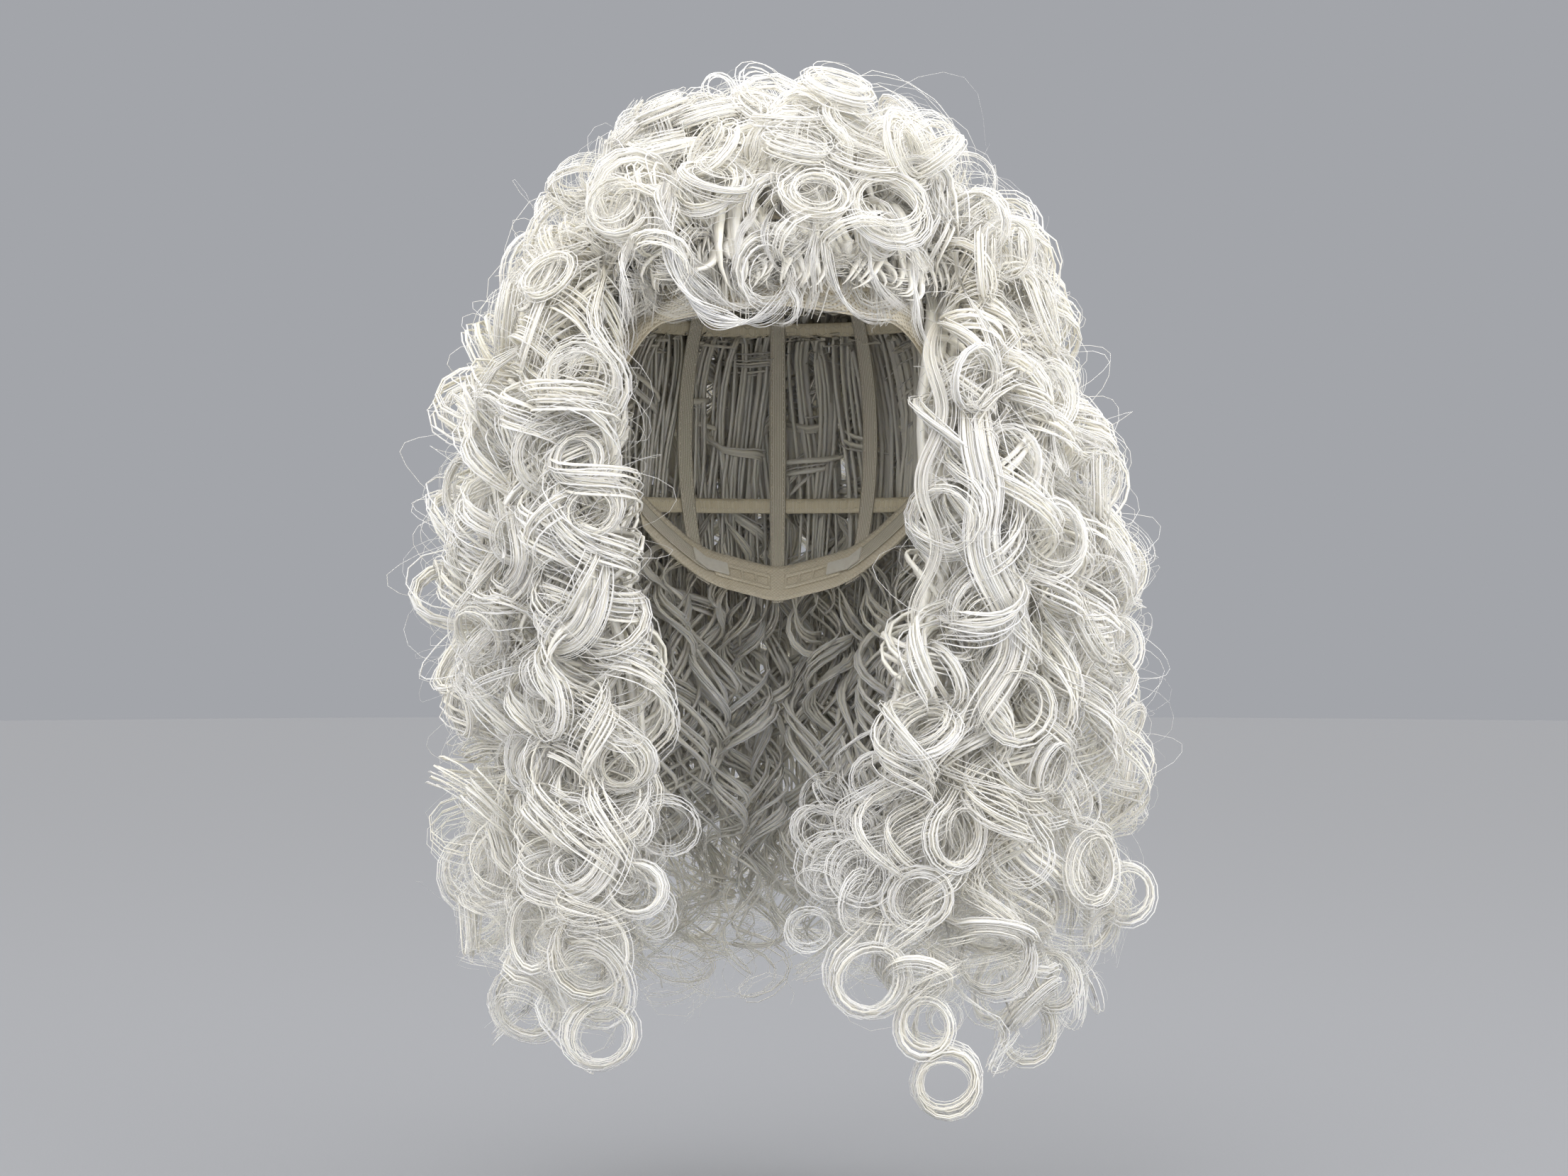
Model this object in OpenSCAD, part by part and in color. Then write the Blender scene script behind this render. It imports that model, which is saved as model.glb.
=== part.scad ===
// Long curly costume wig: a machine-wefted stretch cap with rows of sewn tracks,
// short set curls over the crown and long corkscrew ringlets at the sides and back.
// Millimetres. The origin is the centre of the head that wears it, +Z is up and -Y is the face.
// Azimuth runs from the face (0) to the wearer's left (90) and the nape (180).
// Elevation runs from the widest level of the head (0) to the crown (90).

/* [Head] */
// Width of the head
head_w = 156; // [146:1:166]
// Length of the head, forehead to back
head_l = 196; // [184:1:208]
// Height of the crown above the head's centre
head_h = 105; // [98:1:112]

/* [Cap layers] */
// Thickness of the adjuster hooks
hook_t = 1.1; // [0.8:0.1:1.6]
// Thickness of the adjuster straps, ladder tapes and ear stays
strap_t = 0.8; // [0.5:0.1:1.2]
// Thickness of the edge bands and ear tabs
band_t = 1; // [0.6:0.1:1.5]
// Thickness of the net, the front lace and the ribs
net_t = 0.8; // [0.5:0.1:1.2]
// Thickness of the sewn tracks that hold the hair
track_t = 2; // [1.2:0.1:3]
// Gap between layers that are sewn together
seam_gap = 0.5; // [0.45:0.05:0.7]

/* [Cap outline] */
// Height of the front edge on the forehead, as elevation
brow_el = 27; // [24:1:30]
// Lowest point of the nape, as elevation
nape_el = -45; // [-48:1:-42]
// Azimuth of the front edge of the ear tabs
tab_front = 58; // [56:1:60]
// Azimuth of the rear edge of the ear tabs
tab_rear = 86; // [84:1:88]
// Elevation of the line on which an ear tab bends
tab_top = 12; // [10:1:13]
// Lap of an ear tab under the lace it is sewn to
tab_lap = 2.5; // [1.5:0.5:4]
// Elevation of the tip of an ear tab
tab_tip = -16; // [-18:1:-12]
// Elevation of the lower rim of the crown net
net_rim = 50; // [49:1:52]
// Width of the edge bands
band_w = 18; // [14:1:20]
// Width of the elastic ribs
rib_w = 9; // [6:1:12]
// Width of the sewn tracks
track_w = 6; // [4:0.5:7]

/* [Nape adjusters] */
// Width of the adjuster straps
strap_w = 8; // [6:0.5:9]
// Azimuth at which a strap is sewn on
strap_root = 124; // [122:1:126]
// Azimuth at which a strap ends in its hook
strap_end = 150; // [148:1:152]
// Azimuth of the middle end of a ladder tape
ladder_end = 177; // [175:1:178]
// Gaps in each ladder tape
ladder_gaps = 4; // [3:1:5]

/* [Curls] */
// Radius from the middle of a ringlet to the middle of its lock
curl_r = 11; // [9:0.5:12]
// Thickness of a lock
lock_t = 6; // [4:0.5:7]
// Width of the flat lock that a ringlet is wound from
lock_w = 28; // [20:1:30]
// Width of a lock where it is sewn into its track
root_w = 9; // [6:0.5:10]
// Length of one full turn along a ringlet
curl_pitch = 52; // [46:1:58]
// How far the curls on top of the crown stand off the cap
crown_loft = 34; // [30:1:38]
// How far the curls round the crown stand off the cap
rim_loft = 58; // [52:1:60]
// Clearance between neighbouring locks
lock_gap = 1; // [0.5:0.1:2]

/* [Long hair] */
// Lowest point of the longest side ringlet below the head's centre
front_drop = 290; // [260:1:300]
// How much shorter each ringlet on the wearer's left is, from the face back
left_steps = [75, 0, 18, 32, 50, 68]; // [0:1:90]
// How much shorter each ringlet on the wearer's right is, from the face back
right_steps = [48, 18, 20, 26, 44, 66]; // [0:1:90]
// Lowest point of the back ringlets
back_drop = 282; // [260:1:300]
// Reach of the left ringlets outside the cap where they arch, from the face back
left_arch = [32, 57, 46, 76, 66, 78]; // [30:1:80]
// Reach of the right ringlets outside the cap where they arch, from the face back
right_arch = [32, 57, 46, 70, 60, 72]; // [30:1:80]
// Reach of the left ringlets outside the cap at their ends
left_reach = [34, 38, 42, 76, 70, 80]; // [20:1:82]
// Reach of the right ringlets outside the cap at their ends
right_reach = [24, 46, 36, 62, 50, 66]; // [20:1:82]
// Reach of the back ringlets outside the cap
back_reach = 52; // [48:1:60]
// Reach of the lower back layer outside the cap
lower_back_reach = 15; // [12:1:18]
// Reach of the nape layer outside the cap
nape_reach = -4; // [-6:1:-2]
// How much shorter than the back ringlets the lower back layer is
lower_back_lift = 40; // [30:1:50]
// How much shorter than the back ringlets the nape layer is
nape_lift = 70; // [55:1:80]
// Fall of an under layer from its track to where it hangs straight
under_knee = 30; // [25:1:35]
// Thickness of the under layers of hair at the back
under_t = 13; // [9:1:14]
// Depth of the waves in the under layers
wave_depth = 2.5; // [1:0.5:3]
// Waves across an under layer
wave_count = 11; // [8:1:14]

/* [Hidden] */
$fn = 32;
ring_steps = 7;       // rings in one turn of a lock
lock_sides = 4;       // corners of a lock's section
hoop_sides = 30;      // of the net and of the tracks on it
az_step = 6;          // of a patch round the head, degrees
el_step = 8;          // of a patch up the head, degrees

// Each layer of the cap is the head's ellipsoid, grown by an offset.
hook_in = 0.2;
hook_out = hook_in + hook_t;
strap_in = hook_out + seam_gap;
strap_out = strap_in + strap_t;
band_in = strap_out + seam_gap;
band_out = band_in + band_t;
net_in = band_out + seam_gap;
net_out = net_in + net_t;
track_in = net_out + seam_gap;
track_out = track_in + track_t;
hair_in = track_out + seam_gap;

mean_r = (head_w + head_l + 2 * head_h) / 6;
function degrees_of(length) = length / mean_r * 180 / PI;
band_el = degrees_of(band_w);
strap_el = degrees_of(strap_w);
track_el = degrees_of(track_w);
seam_el = degrees_of(seam_gap);
curl_out = curl_r + lock_t / 2;       // outer radius of a ringlet

// Rows of tracks, as elevations
fringe_el = brow_el + 5;
side_el = 30;
crown_el = [net_rim - 3, 66, 79];
back_el = 28;
lower_back_el = -16;
nape_rise = 4;                        // of the nape track above the cap's edge
fringe_span = 48;
side_span = [57, 112];
back_span = side_span[1] + 5;         // half-angles from the face
lower_back_span = side_span[1] + 4;
nape_span = 130;

// Points and curves

function unit(v) = v / norm(v);
function smooth(t) = let (c = min(1, max(0, t))) c * c * (3 - 2 * c);
function fold(az) = let (a = abs(az % 360)) a > 180 ? 360 - a : a;

// A point on the head, grown by an offset
function on_head(az, el, off) = [
    (head_w / 2 + off) * cos(el) * sin(az),
    -(head_l / 2 + off) * cos(el) * cos(az),
    (head_h + off) * sin(el)];

// The way straight out of the head
function normal(az, el) = unit([sin(az) * cos(el) / head_w, -cos(az) * cos(el) / head_l,
    sin(el) / (2 * head_h)]);

// A point level with z, at a reach outside the widest line of the head
function outside(az, reach, z) = [
    (head_w / 2 + reach) * sin(az), -(head_l / 2 + reach) * cos(az), z];

// The cap's edge: the forehead, the dip over each ear and the nape
function edge_el(az) = lookup(fold(az), [[0, brow_el], [tab_front - 12, brow_el - 4],
    [tab_front, tab_top - 2], [tab_rear, 3], [tab_rear + 12, 0],
    [strap_root, nape_el + 22], [150, nape_el + 6], [180, nape_el]]);

function bezier(p, t) = let (s = 1 - t)
    s * s * s * p[0] + 3 * s * s * t * p[1] + 3 * s * t * t * p[2] + t * t * t * p[3];
function bezier_slope(p, t) = let (s = 1 - t)
    s * s * (p[1] - p[0]) + 2 * s * t * (p[2] - p[1]) + t * t * (p[3] - p[2]);

// How far along a curve each of its steps lies, as pairs of length and parameter
function mileage(p, n = 16, i = 0, gone = 0) = i > n ? [] : let (
    done = i == 0 ? 0 : gone + norm(bezier(p, i / n) - bezier(p, (i - 1) / n)))
    concat([[done, i / n]], mileage(p, n, i + 1, done));
function path_length(p) = let (m = mileage(p)) m[len(m) - 1][0];

// Solids from rings of points

// Skins a list of rings, all with as many points. A hoop joins up; anything else gets two ends.
// A wall that leans is cut along its other diagonal, to follow a left-hand twist.
module loft(rings, hoop = false, lean = false) {
    n = len(rings[0]);
    m = len(rings);
    walls = [for (i = [0:hoop ? m - 1 : m - 2], j = [0:n - 1])
        let (a = i * n, b = (i + 1) % m * n, k = (j + 1) % n)
        each lean ? [[a + j, b + j, a + k], [b + j, b + k, a + k]]
            : [[a + j, b + j, b + k], [a + j, b + k, a + k]]];
    last = (m - 1) * n;
    ends = [for (j = [0:floor(n / 2) - 1])
        let (k = n - 1 - j)
        each concat(k - j > 1 ? [[j, j + 1, k], [last + k, last + j + 1, last + j]] : [],
            k - j > 2 ? [[j + 1, k - 1, k], [last + k, last + k - 1, last + j + 1]] : [])];
    polyhedron([for (r = rings) each r], hoop ? walls : concat(walls, ends));
}

// A piece of a cap layer between two azimuths, from a lower to an upper elevation.
// Every layer is cut at the same azimuths, so that its flats lie along those of the next.
module patch(az0, az1, low, high, off0, off1, step = az_step) {
    cuts = concat([az0], [for (a = [-180:step:360]) if (a > az0 + 1 && a < az1 - 1) a], [az1]);
    rows = ceil(max([for (a = cuts) high(a) - low(a)]) / el_step);
    loft([for (az = cuts)
        let (el = [for (i = [0:rows]) low(az) + (high(az) - low(az)) * i / rows])
        concat([for (e = el) on_head(az, e, off0)],
            [for (i = [rows:-1:0]) on_head(az, el[i], off1)])]);
}

// One level of the grown head, as a ring of points
function level(el, off) = [for (j = [0:hoop_sides - 1]) on_head(360 * j / hoop_sides, el, off)];

// A track all the way round the crown
module hoop(el0, el1, off0, off1) {
    loft([level(el1, off0), level(el0, off0), level(el0, off1), level(el1, off1)], true);
}

// A flat lock of hair wound round the curved line p. It is rooted at the first point, lies flat
// along its track there, and opens to its full curl over a length from the root.
module ringlet(p, turns, hand, opening) {
    steps = ceil(turns * ring_steps);
    miles = mileage(p);
    whole = path_length(p);
    across = unit(cross([0, 0, 1], [p[0][0], p[0][1], 0]));
    loft([for (i = [0:steps])
        lock_ring(p, miles, across, 360 * hand * turns / whole, opening, whole * i / steps, whole)],
        lean = hand > 0);
}

function lock_frame(p, across, t) = let (
    along = unit(bezier_slope(p, t)),
    side = unit(across - (across * along) * along))
    [side, cross(along, side)];

// The way from the middle of a ringlet to its lock, at length s from the root
function lock_away(p, miles, across, wind, s) = let (
    f = lock_frame(p, across, lookup(s, miles)),
    angle = 90 + wind * s)
    cos(angle) * f[0] + sin(angle) * f[1];

function lock_centre(p, miles, across, wind, opening, s, whole) =
    bezier(p, lookup(s, miles)) + lock_away(p, miles, across, wind, s)
    * curl_r * smooth(s / opening) * (1 - 0.3 * smooth(5 * s / whole - 4));

function lock_ring(p, miles, across, wind, opening, s, whole) = let (
    d = whole / 400,
    s0 = max(0, s - d),
    s1 = min(whole, s + d),
    heading = unit(lock_centre(p, miles, across, wind, opening, s1, whole)
        - lock_centre(p, miles, across, wind, opening, s0, whole)),
    flat = unit(cross(heading, lock_away(p, miles, across, wind, s))),
    proud = cross(heading, flat),
    opened = smooth(s / opening),
    tip = 1 - 0.6 * smooth(6 * s / whole - 5),
    w = (root_w + (lock_w - root_w) * opened) * tip,
    thick = lock_t * (0.5 + 0.5 * opened) * tip)
    [for (k = [0:lock_sides - 1]) let (c = 360 * k / lock_sides)
        lock_centre(p, miles, across, wind, opening, s, whole)
            + w / 2 * cos(c) * flat + thick / 2 * sin(c) * proud];

// Draws a left-hand piece as it is, or its right-hand twin
module handed(side) {
    mirror([side > 0 ? 0 : 1, 0, 0]) children();
}

// Cap

module crown_net() {
    top = 86;
    rows = ceil((top - net_rim) / el_step);
    rise = [for (i = [0:rows]) net_rim + (top - net_rim) * i / rows];
    color("ivory") loft(concat([for (i = [rows:-1:0]) level(rise[i], net_in)],
        [for (e = rise) level(e, net_out)]));
}

module front_lace() {
    lace_end = tab_rear + 4;
    low = function(az) fold(az) < tab_front ? edge_el(az) + seam_el : tab_top + seam_el;
    high = function(az) net_rim - seam_el;
    color("ivory") patch(-lace_end, lace_end, low, high, net_in, net_out);
}

module front_band() {
    low = function(az) edge_el(az);
    high = function(az) edge_el(az) + band_el;
    color("linen") patch(1 - tab_front, tab_front - 1, low, high, band_in, band_out);
}

module ear_binding(side) {
    low = function(az) edge_el(az);
    high = function(az) edge_el(az) + band_el / 2;
    color("linen") handed(side) patch(tab_rear + 1, strap_root - 1, low, high, band_in, band_out);
}

module nape_band() {
    low = function(az) edge_el(az);
    high = function(az) edge_el(az) + band_el;
    color("linen") patch(strap_root, 360 - strap_root, low, high, band_in, band_out);
}

module rib(az, side = 1) {
    half = degrees_of(rib_w) / 2;
    low = function(a) edge_el(a);
    high = function(a) net_rim - seam_el;
    color("ivory") handed(side) patch(az - half, az + half, low, high, net_in, net_out);
}

// Ear tabs, which bend inwards on the line where they meet the front lace

function tab_low(az) = let (t = 2 * (fold(az) - tab_front) / (tab_rear - tab_front) - 1)
    tab_tip + (tab_top - 4 - tab_tip) * pow(abs(t), 2.5);

module ear_tab(side) {
    low = function(az) tab_low(az);
    high = function(az) tab_top + degrees_of(tab_lap);
    color("linen") handed(side)
        patch(tab_front + 0.5, tab_rear - 0.5, low, high, band_in, band_out, az_step / 2);
}

module ear_stay(side) {
    stay_w = 4;
    middle = (tab_front + tab_rear) / 2;
    half = degrees_of(stay_w) / 2;
    low = function(az) tab_tip + 4;
    high = function(az) tab_top - 2;
    color("whitesmoke") handed(side)
        patch(middle - half, middle + half, low, high, strap_in, strap_out);
}

// Nape adjusters: an elastic strap with a hook that catches in one gap of a ladder tape

function strap_mid(az) = edge_el(az) + band_el / 2;

module strap(side) {
    low = function(az) strap_mid(az) - strap_el / 2;
    high = function(az) strap_mid(az) + strap_el / 2;
    color("snow") handed(side) patch(strap_root, strap_end, low, high, strap_in, strap_out);
}

ladder_start = strap_end + 3;
ladder_rail = 1.2;                                  // degrees
ladder_pitch = (ladder_end - ladder_start - ladder_rail) / ladder_gaps;
sunk = strap_t / 5;                                 // of a rung below the faces of the rails

module ladder_tape(side) {
    edge = strap_el / 2;
    color("snow") handed(side) union() {
        patch(ladder_start, ladder_end, function(az) strap_mid(az) - edge,
            function(az) strap_mid(az) - edge + ladder_rail, strap_in, strap_out);
        patch(ladder_start, ladder_end, function(az) strap_mid(az) + edge - ladder_rail,
            function(az) strap_mid(az) + edge, strap_in, strap_out);
        for (i = [0:ladder_gaps])
            let (az = ladder_start + sunk + i * (ladder_pitch - sunk / ladder_gaps))
            patch(az, az + ladder_rail - sunk,
                function(az) strap_mid(az) - edge + ladder_rail / 2,
                function(az) strap_mid(az) + edge - ladder_rail / 2,
                strap_in + sunk, strap_out - sunk);
    }
}

module hook(side) {
    plate = strap_el * 0.35;
    prong = strap_el * 0.2;
    prong_start = ladder_start + ladder_rail + 2 * seam_el;
    prong_end = ladder_start + ladder_pitch - 2 * seam_el;
    color("whitesmoke") handed(side) union() {
        patch(strap_end - 5, prong_end + 2 * seam_el, function(az) strap_mid(az) - plate,
            function(az) strap_mid(az) + plate, hook_in, hook_out);
        patch(prong_start, prong_end, function(az) strap_mid(az) - prong,
            function(az) strap_mid(az) + prong, (hook_in + hook_out) / 2, strap_out - seam_gap);
    }
}

// Tracks

module track(az0, az1, middle, side = 1) {
    low = function(az) middle(az) - track_el / 2;
    high = function(az) middle(az) + track_el / 2;
    color("white") handed(side) patch(az0, az1, low, high, track_in, track_out);
}

module ring_track(el) {
    color("white") hoop(el - track_el / 2, el + track_el / 2, track_in, track_out);
}

// Short curls that stand out from the cap and droop a little

module crown_curl(az, el, loft) {
    root = on_head(az, el, hair_in);
    away = normal(az, el);
    droop = [0, 0, -0.6 * loft * cos(el)];
    p = [root, root + loft / 3 * away, root + 0.8 * loft * away, root + loft * away + droop];
    ringlet(p, path_length(p) / curl_pitch + 0.5, az > 0 ? 1 : -1, 0.7 * loft);
}

// As many as fit side by side half-way up the curls
module crown_row(az0, az1, el, loft) {
    room = (az1 - az0) * PI / 180 * cos(el) * (mean_r + hair_in + loft / 2);
    n = floor(room / (2 * curl_out + lock_gap));
    color("floralwhite") for (i = [0:n - 1])
        crown_curl(az0 + (az1 - az0) * (i + 0.5) / n, el, loft);
}

// Long ringlets: each leaves its track, arches over the layer below and hangs

module long_lock(root_az, root_el, hang_az, reach, end_az, end_reach, drop) {
    root = on_head(root_az, root_el, hair_in);
    p = [root, root + 0.7 * reach * normal(root_az, root_el),
        outside(hang_az, 1.15 * reach, -drop / 6), outside(end_az, end_reach, curl_r - drop)];
    ringlet(p, path_length(p) / curl_pitch, 1, 1.2 * reach + 2 * curl_r);
}

// Azimuths of the side ringlets, from the face back: of their roots, where they arch and where they end
side_roots = [for (i = [0:5]) side_span[0] + 3 + 10 * i];
side_hangs = [48, 59, 74, 83, 95, 106];
left_ends = [33, 45, 60, 74, 88, 105];
right_ends = [40, 51, 65, 76, 90, 106];

module side_curls(side) {
    arch = side > 0 ? left_arch : right_arch;
    reach = side > 0 ? left_reach : right_reach;
    steps = side > 0 ? left_steps : right_steps;
    ends = side > 0 ? left_ends : right_ends;
    color("floralwhite") handed(side) for (i = [0:len(side_roots) - 1])
        long_lock(side_roots[i], side_el, side_hangs[i], arch[i], ends[i], reach[i], front_drop - steps[i]);
}

module back_curls(side) {
    count = 4;
    first = 123;
    pitch = (180 - first) / (count - 0.5);
    color("floralwhite") handed(side) for (i = [0:count - 1])
        let (az = first + pitch * i)
        long_lock(az, back_el, az, back_reach, az, back_reach, back_drop);
}

// Under layers: a waved sheet of hair that falls from its track

module under_hair(span, track_line, reach, drop) {
    steps = 4 * wave_count;
    color("antiquewhite") loft([for (i = [0:steps]) let (
        az = span + (360 - 2 * span) * i / steps,
        wave = wave_depth * sin(360 * wave_count * i / steps),
        end = -drop - 3 * wave,
        el = track_line(az),
        knee = on_head(az, el, 0)[2] - under_knee)
        [on_head(az, el, hair_in + under_t / 2), outside(az, reach + under_t, knee),
            outside(az, reach + wave + under_t, end), outside(az, reach + wave, end),
            outside(az, reach, knee), on_head(az, el, hair_in)]]);
}

nape_line = function(az) edge_el(az) + nape_rise;
lower_back_line = function(az) max(edge_el(az) + nape_rise, lower_back_el);

crown_net();
front_lace();
front_band();
ear_binding(1);  // left_ear_binding
ear_binding(-1);  // right_ear_binding
nape_band();
rib(180);  // centre_rib
rib(148);  // left_back_rib
rib(148, -1);  // right_back_rib
rib(112);  // left_side_rib
rib(112, -1);  // right_side_rib
ladder_tape(1);  // left_ladder_tape
ladder_tape(-1);  // right_ladder_tape
strap(1);  // left_strap
strap(-1);  // right_strap
hook(1);  // left_hook
hook(-1);  // right_hook
ear_tab(1);  // left_ear_tab
ear_tab(-1);  // right_ear_tab
ear_stay(1);  // left_ear_stay
ear_stay(-1);  // right_ear_stay
track(-fringe_span, fringe_span, function(az) fringe_el);  // fringe_track
ring_track(crown_el[0]);  // lower_crown_track
ring_track(crown_el[1]);  // middle_crown_track
ring_track(crown_el[2]);  // upper_crown_track
track(side_span[0], side_span[1], function(az) side_el);  // left_side_track
track(side_span[0], side_span[1], function(az) side_el, -1);  // right_side_track
track(back_span, 360 - back_span, function(az) back_el);  // back_track
track(lower_back_span, 360 - lower_back_span, lower_back_line);  // lower_back_track
track(nape_span, 360 - nape_span, nape_line);  // nape_track
crown_row(-fringe_span, fringe_span, fringe_el, crown_loft);  // fringe_curls
crown_row(-180, 180, crown_el[0], rim_loft);  // lower_crown_curls
crown_row(-180, 180, crown_el[1], crown_loft);  // middle_crown_curls
crown_row(-180, 180, crown_el[2], crown_loft);  // upper_crown_curls
side_curls(1);  // left_side_curls
side_curls(-1);  // right_side_curls
back_curls(1);  // left_back_curls
back_curls(-1);  // right_back_curls
under_hair(lower_back_span, lower_back_line, lower_back_reach, back_drop - lower_back_lift);  // lower_back_hair
under_hair(nape_span, nape_line, nape_reach, back_drop - nape_lift);  // nape_hair
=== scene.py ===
import math

import bpy
import numpy as np
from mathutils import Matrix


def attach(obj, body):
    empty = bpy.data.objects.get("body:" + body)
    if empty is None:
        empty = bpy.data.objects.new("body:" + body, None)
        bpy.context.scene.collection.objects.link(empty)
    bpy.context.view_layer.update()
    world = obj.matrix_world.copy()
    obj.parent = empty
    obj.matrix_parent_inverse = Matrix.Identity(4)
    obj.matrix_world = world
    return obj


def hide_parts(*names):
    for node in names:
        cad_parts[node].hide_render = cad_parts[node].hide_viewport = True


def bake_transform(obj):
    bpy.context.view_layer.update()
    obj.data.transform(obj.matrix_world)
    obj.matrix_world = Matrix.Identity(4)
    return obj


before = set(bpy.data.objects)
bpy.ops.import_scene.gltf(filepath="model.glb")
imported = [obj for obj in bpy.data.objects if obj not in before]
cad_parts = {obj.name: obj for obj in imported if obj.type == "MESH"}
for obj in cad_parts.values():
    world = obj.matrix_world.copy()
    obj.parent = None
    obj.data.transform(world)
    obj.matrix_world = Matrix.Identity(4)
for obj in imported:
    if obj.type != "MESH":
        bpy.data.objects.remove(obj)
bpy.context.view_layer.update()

# Crown net
# The top of the cap, a stretch net of knotted polyester cord with open six-sided holes. It is sewn to
# the lace and the ribs along its edge, and carries the hair tracks of the crown.
HEAD = np.array([78.0, 98.0, 105.0])          # half width, half length and height of the head, mm
NET = (4.6, 5.4)                              # net, lace and ribs, mm off the head
NET_EDGE = 49                                 # degrees of elevation


def on_head(az, el, off):
    """Points in mm on the head grown by off: azimuth from the face, elevation from the ears up."""
    az, el, off = np.broadcast_arrays(np.radians(az), np.radians(el), off)
    return np.stack([(HEAD[0] + off) * np.cos(el) * np.sin(az), -(HEAD[1] + off) * np.cos(el) * np.cos(az),
                     (HEAD[2] + off) * np.sin(el)], -1)


def add(tree, kind, links=None, **settings):
    """Adds a node with its settings. Links are values or sockets, by an input's name or number."""
    node = tree.nodes.new(kind)
    for key, value in settings.items():
        setattr(node, key, value)
    for key, value in (links or {}).items():
        if isinstance(value, bpy.types.NodeSocket):
            tree.links.new(value, node.inputs[key])
        else:
            node.inputs[key].default_value = value
    return node.outputs


def calc(tree, operation, *values, **settings):
    """The result of a math node."""
    return add(tree, "ShaderNodeMath", dict(enumerate(values)), operation=operation, **settings)[0]


def vector(tree, operation, *values):
    """The result of a vector math node, which is a number for a dot product."""
    links = dict(zip((0, "Scale") if operation == "SCALE" else (0, 1, 2), values))
    result = "Value" if operation == "DOT_PRODUCT" else "Vector"
    return add(tree, "ShaderNodeVectorMath", links, operation=operation)[result]


def ranged(tree, value, *limits):
    """A value taken from one range, its least and most, to another."""
    return add(tree, "ShaderNodeMapRange", {"Value": value, **dict(enumerate(limits, 1))})[0]


def recipe(name, inputs):
    """An empty geometry tree with named inputs, and the node that gives them."""
    tree = bpy.data.node_groups.new(name, "GeometryNodeTree")
    for label, kind in inputs:
        tree.interface.new_socket(label, in_out="INPUT", socket_type="NodeSocket" + kind)
    tree.interface.new_socket("Geometry", in_out="OUTPUT", socket_type="NodeSocketGeometry")
    return tree, add(tree, "NodeGroupInput")


def finished(tree, geometry, material):
    """Ends a tree in smooth, real geometry with its material."""
    for kind, links in (("SetShadeSmooth", {}), ("RealizeInstances", {}), ("SetMaterial", {"Material": material})):
        geometry = add(tree, "GeometryNode" + kind, {"Geometry": geometry, **links})[0]
    add(tree, "NodeGroupOutput", {"Geometry": geometry})


def grow(name, tree, sizes, mesh=None):
    """Runs a tree on a mesh and keeps the result as a plain mesh."""
    piece = bpy.data.objects.new(name, mesh or bpy.data.meshes.new(name))
    bpy.context.scene.collection.objects.link(piece)
    modifier = piece.modifiers.new(name, "NODES")
    modifier.node_group = tree
    for socket in tree.interface.items_tree:
        if socket.in_out == "INPUT" and socket.name in sizes:
            modifier[socket.identifier] = sizes[socket.name]
    seen = piece.evaluated_get(bpy.context.evaluated_depsgraph_get())
    made = bpy.data.meshes.new_from_object(seen)
    piece.modifiers.clear()
    piece.data = made
    return piece


def linear(code):
    """A linear colour from an sRGB hex value."""
    parts = [int(code[i:i + 2], 16) / 255 for i in (1, 3, 5)]
    return [c / 12.92 if c <= 0.04045 else ((c + 0.055) / 1.055) ** 2.4 for c in parts] + [1.0]


def surface(name):
    """A new material and its empty tree."""
    material = bpy.data.materials.new(name)
    material.use_nodes = True
    material.node_tree.nodes.clear()
    return material, material.node_tree


def noise(nodes, where, scale, detail=2.0):
    return add(nodes, "ShaderNodeTexNoise", {"Vector": where, "Scale": scale, "Detail": detail})["Fac"]


def between(nodes, factor, low, high):
    """A colour between two, each a socket or an sRGB hex value."""
    low, high = [linear(colour) if isinstance(colour, str) else colour for colour in (low, high)]
    return add(nodes, "ShaderNodeMix", {"Factor": factor, 6: low, 7: high}, data_type="RGBA")[2]


def coat(nodes, colour, looks, height=None, strength=0.0, distance=0.0, invert=False):
    """Ends a material: a colour, its looks by name, and a height raised by a distance in metres."""
    if height is not None:
        bump = add(nodes, "ShaderNodeBump", {"Strength": strength, "Distance": distance, "Height": height},
                   invert=invert)
        looks = {**looks, "Normal": bump[0]}
    skin = add(nodes, "ShaderNodeBsdfPrincipled", {"Base Color": colour, **looks})
    add(nodes, "ShaderNodeOutputMaterial", {"Surface": skin[0]})


# Knotted polyester: a matt off-white cord. Its twist shows as a light band every 0.9 mm, with painted
# shade in the grooves between, and it is a little soiled from place to place.
netting, nodes = surface("knotted_polyester_net")
where = add(nodes, "ShaderNodeTexCoord")["Object"]
twist = add(nodes, "ShaderNodeTexWave", {"Vector": where, "Scale": 350.0, "Distortion": 2.0})["Fac"]
# painted shade: the colour is darker where the twist lies low; the noise over it is real soil
mixed = calc(nodes, "MULTIPLY_ADD", twist, 0.5, noise(nodes, where, 70.0))
coat(nodes, between(nodes, mixed, "#cfc5ae", "#f4eee0"), {"Roughness": 0.72}, twist, 0.4, 0.0002)

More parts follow.
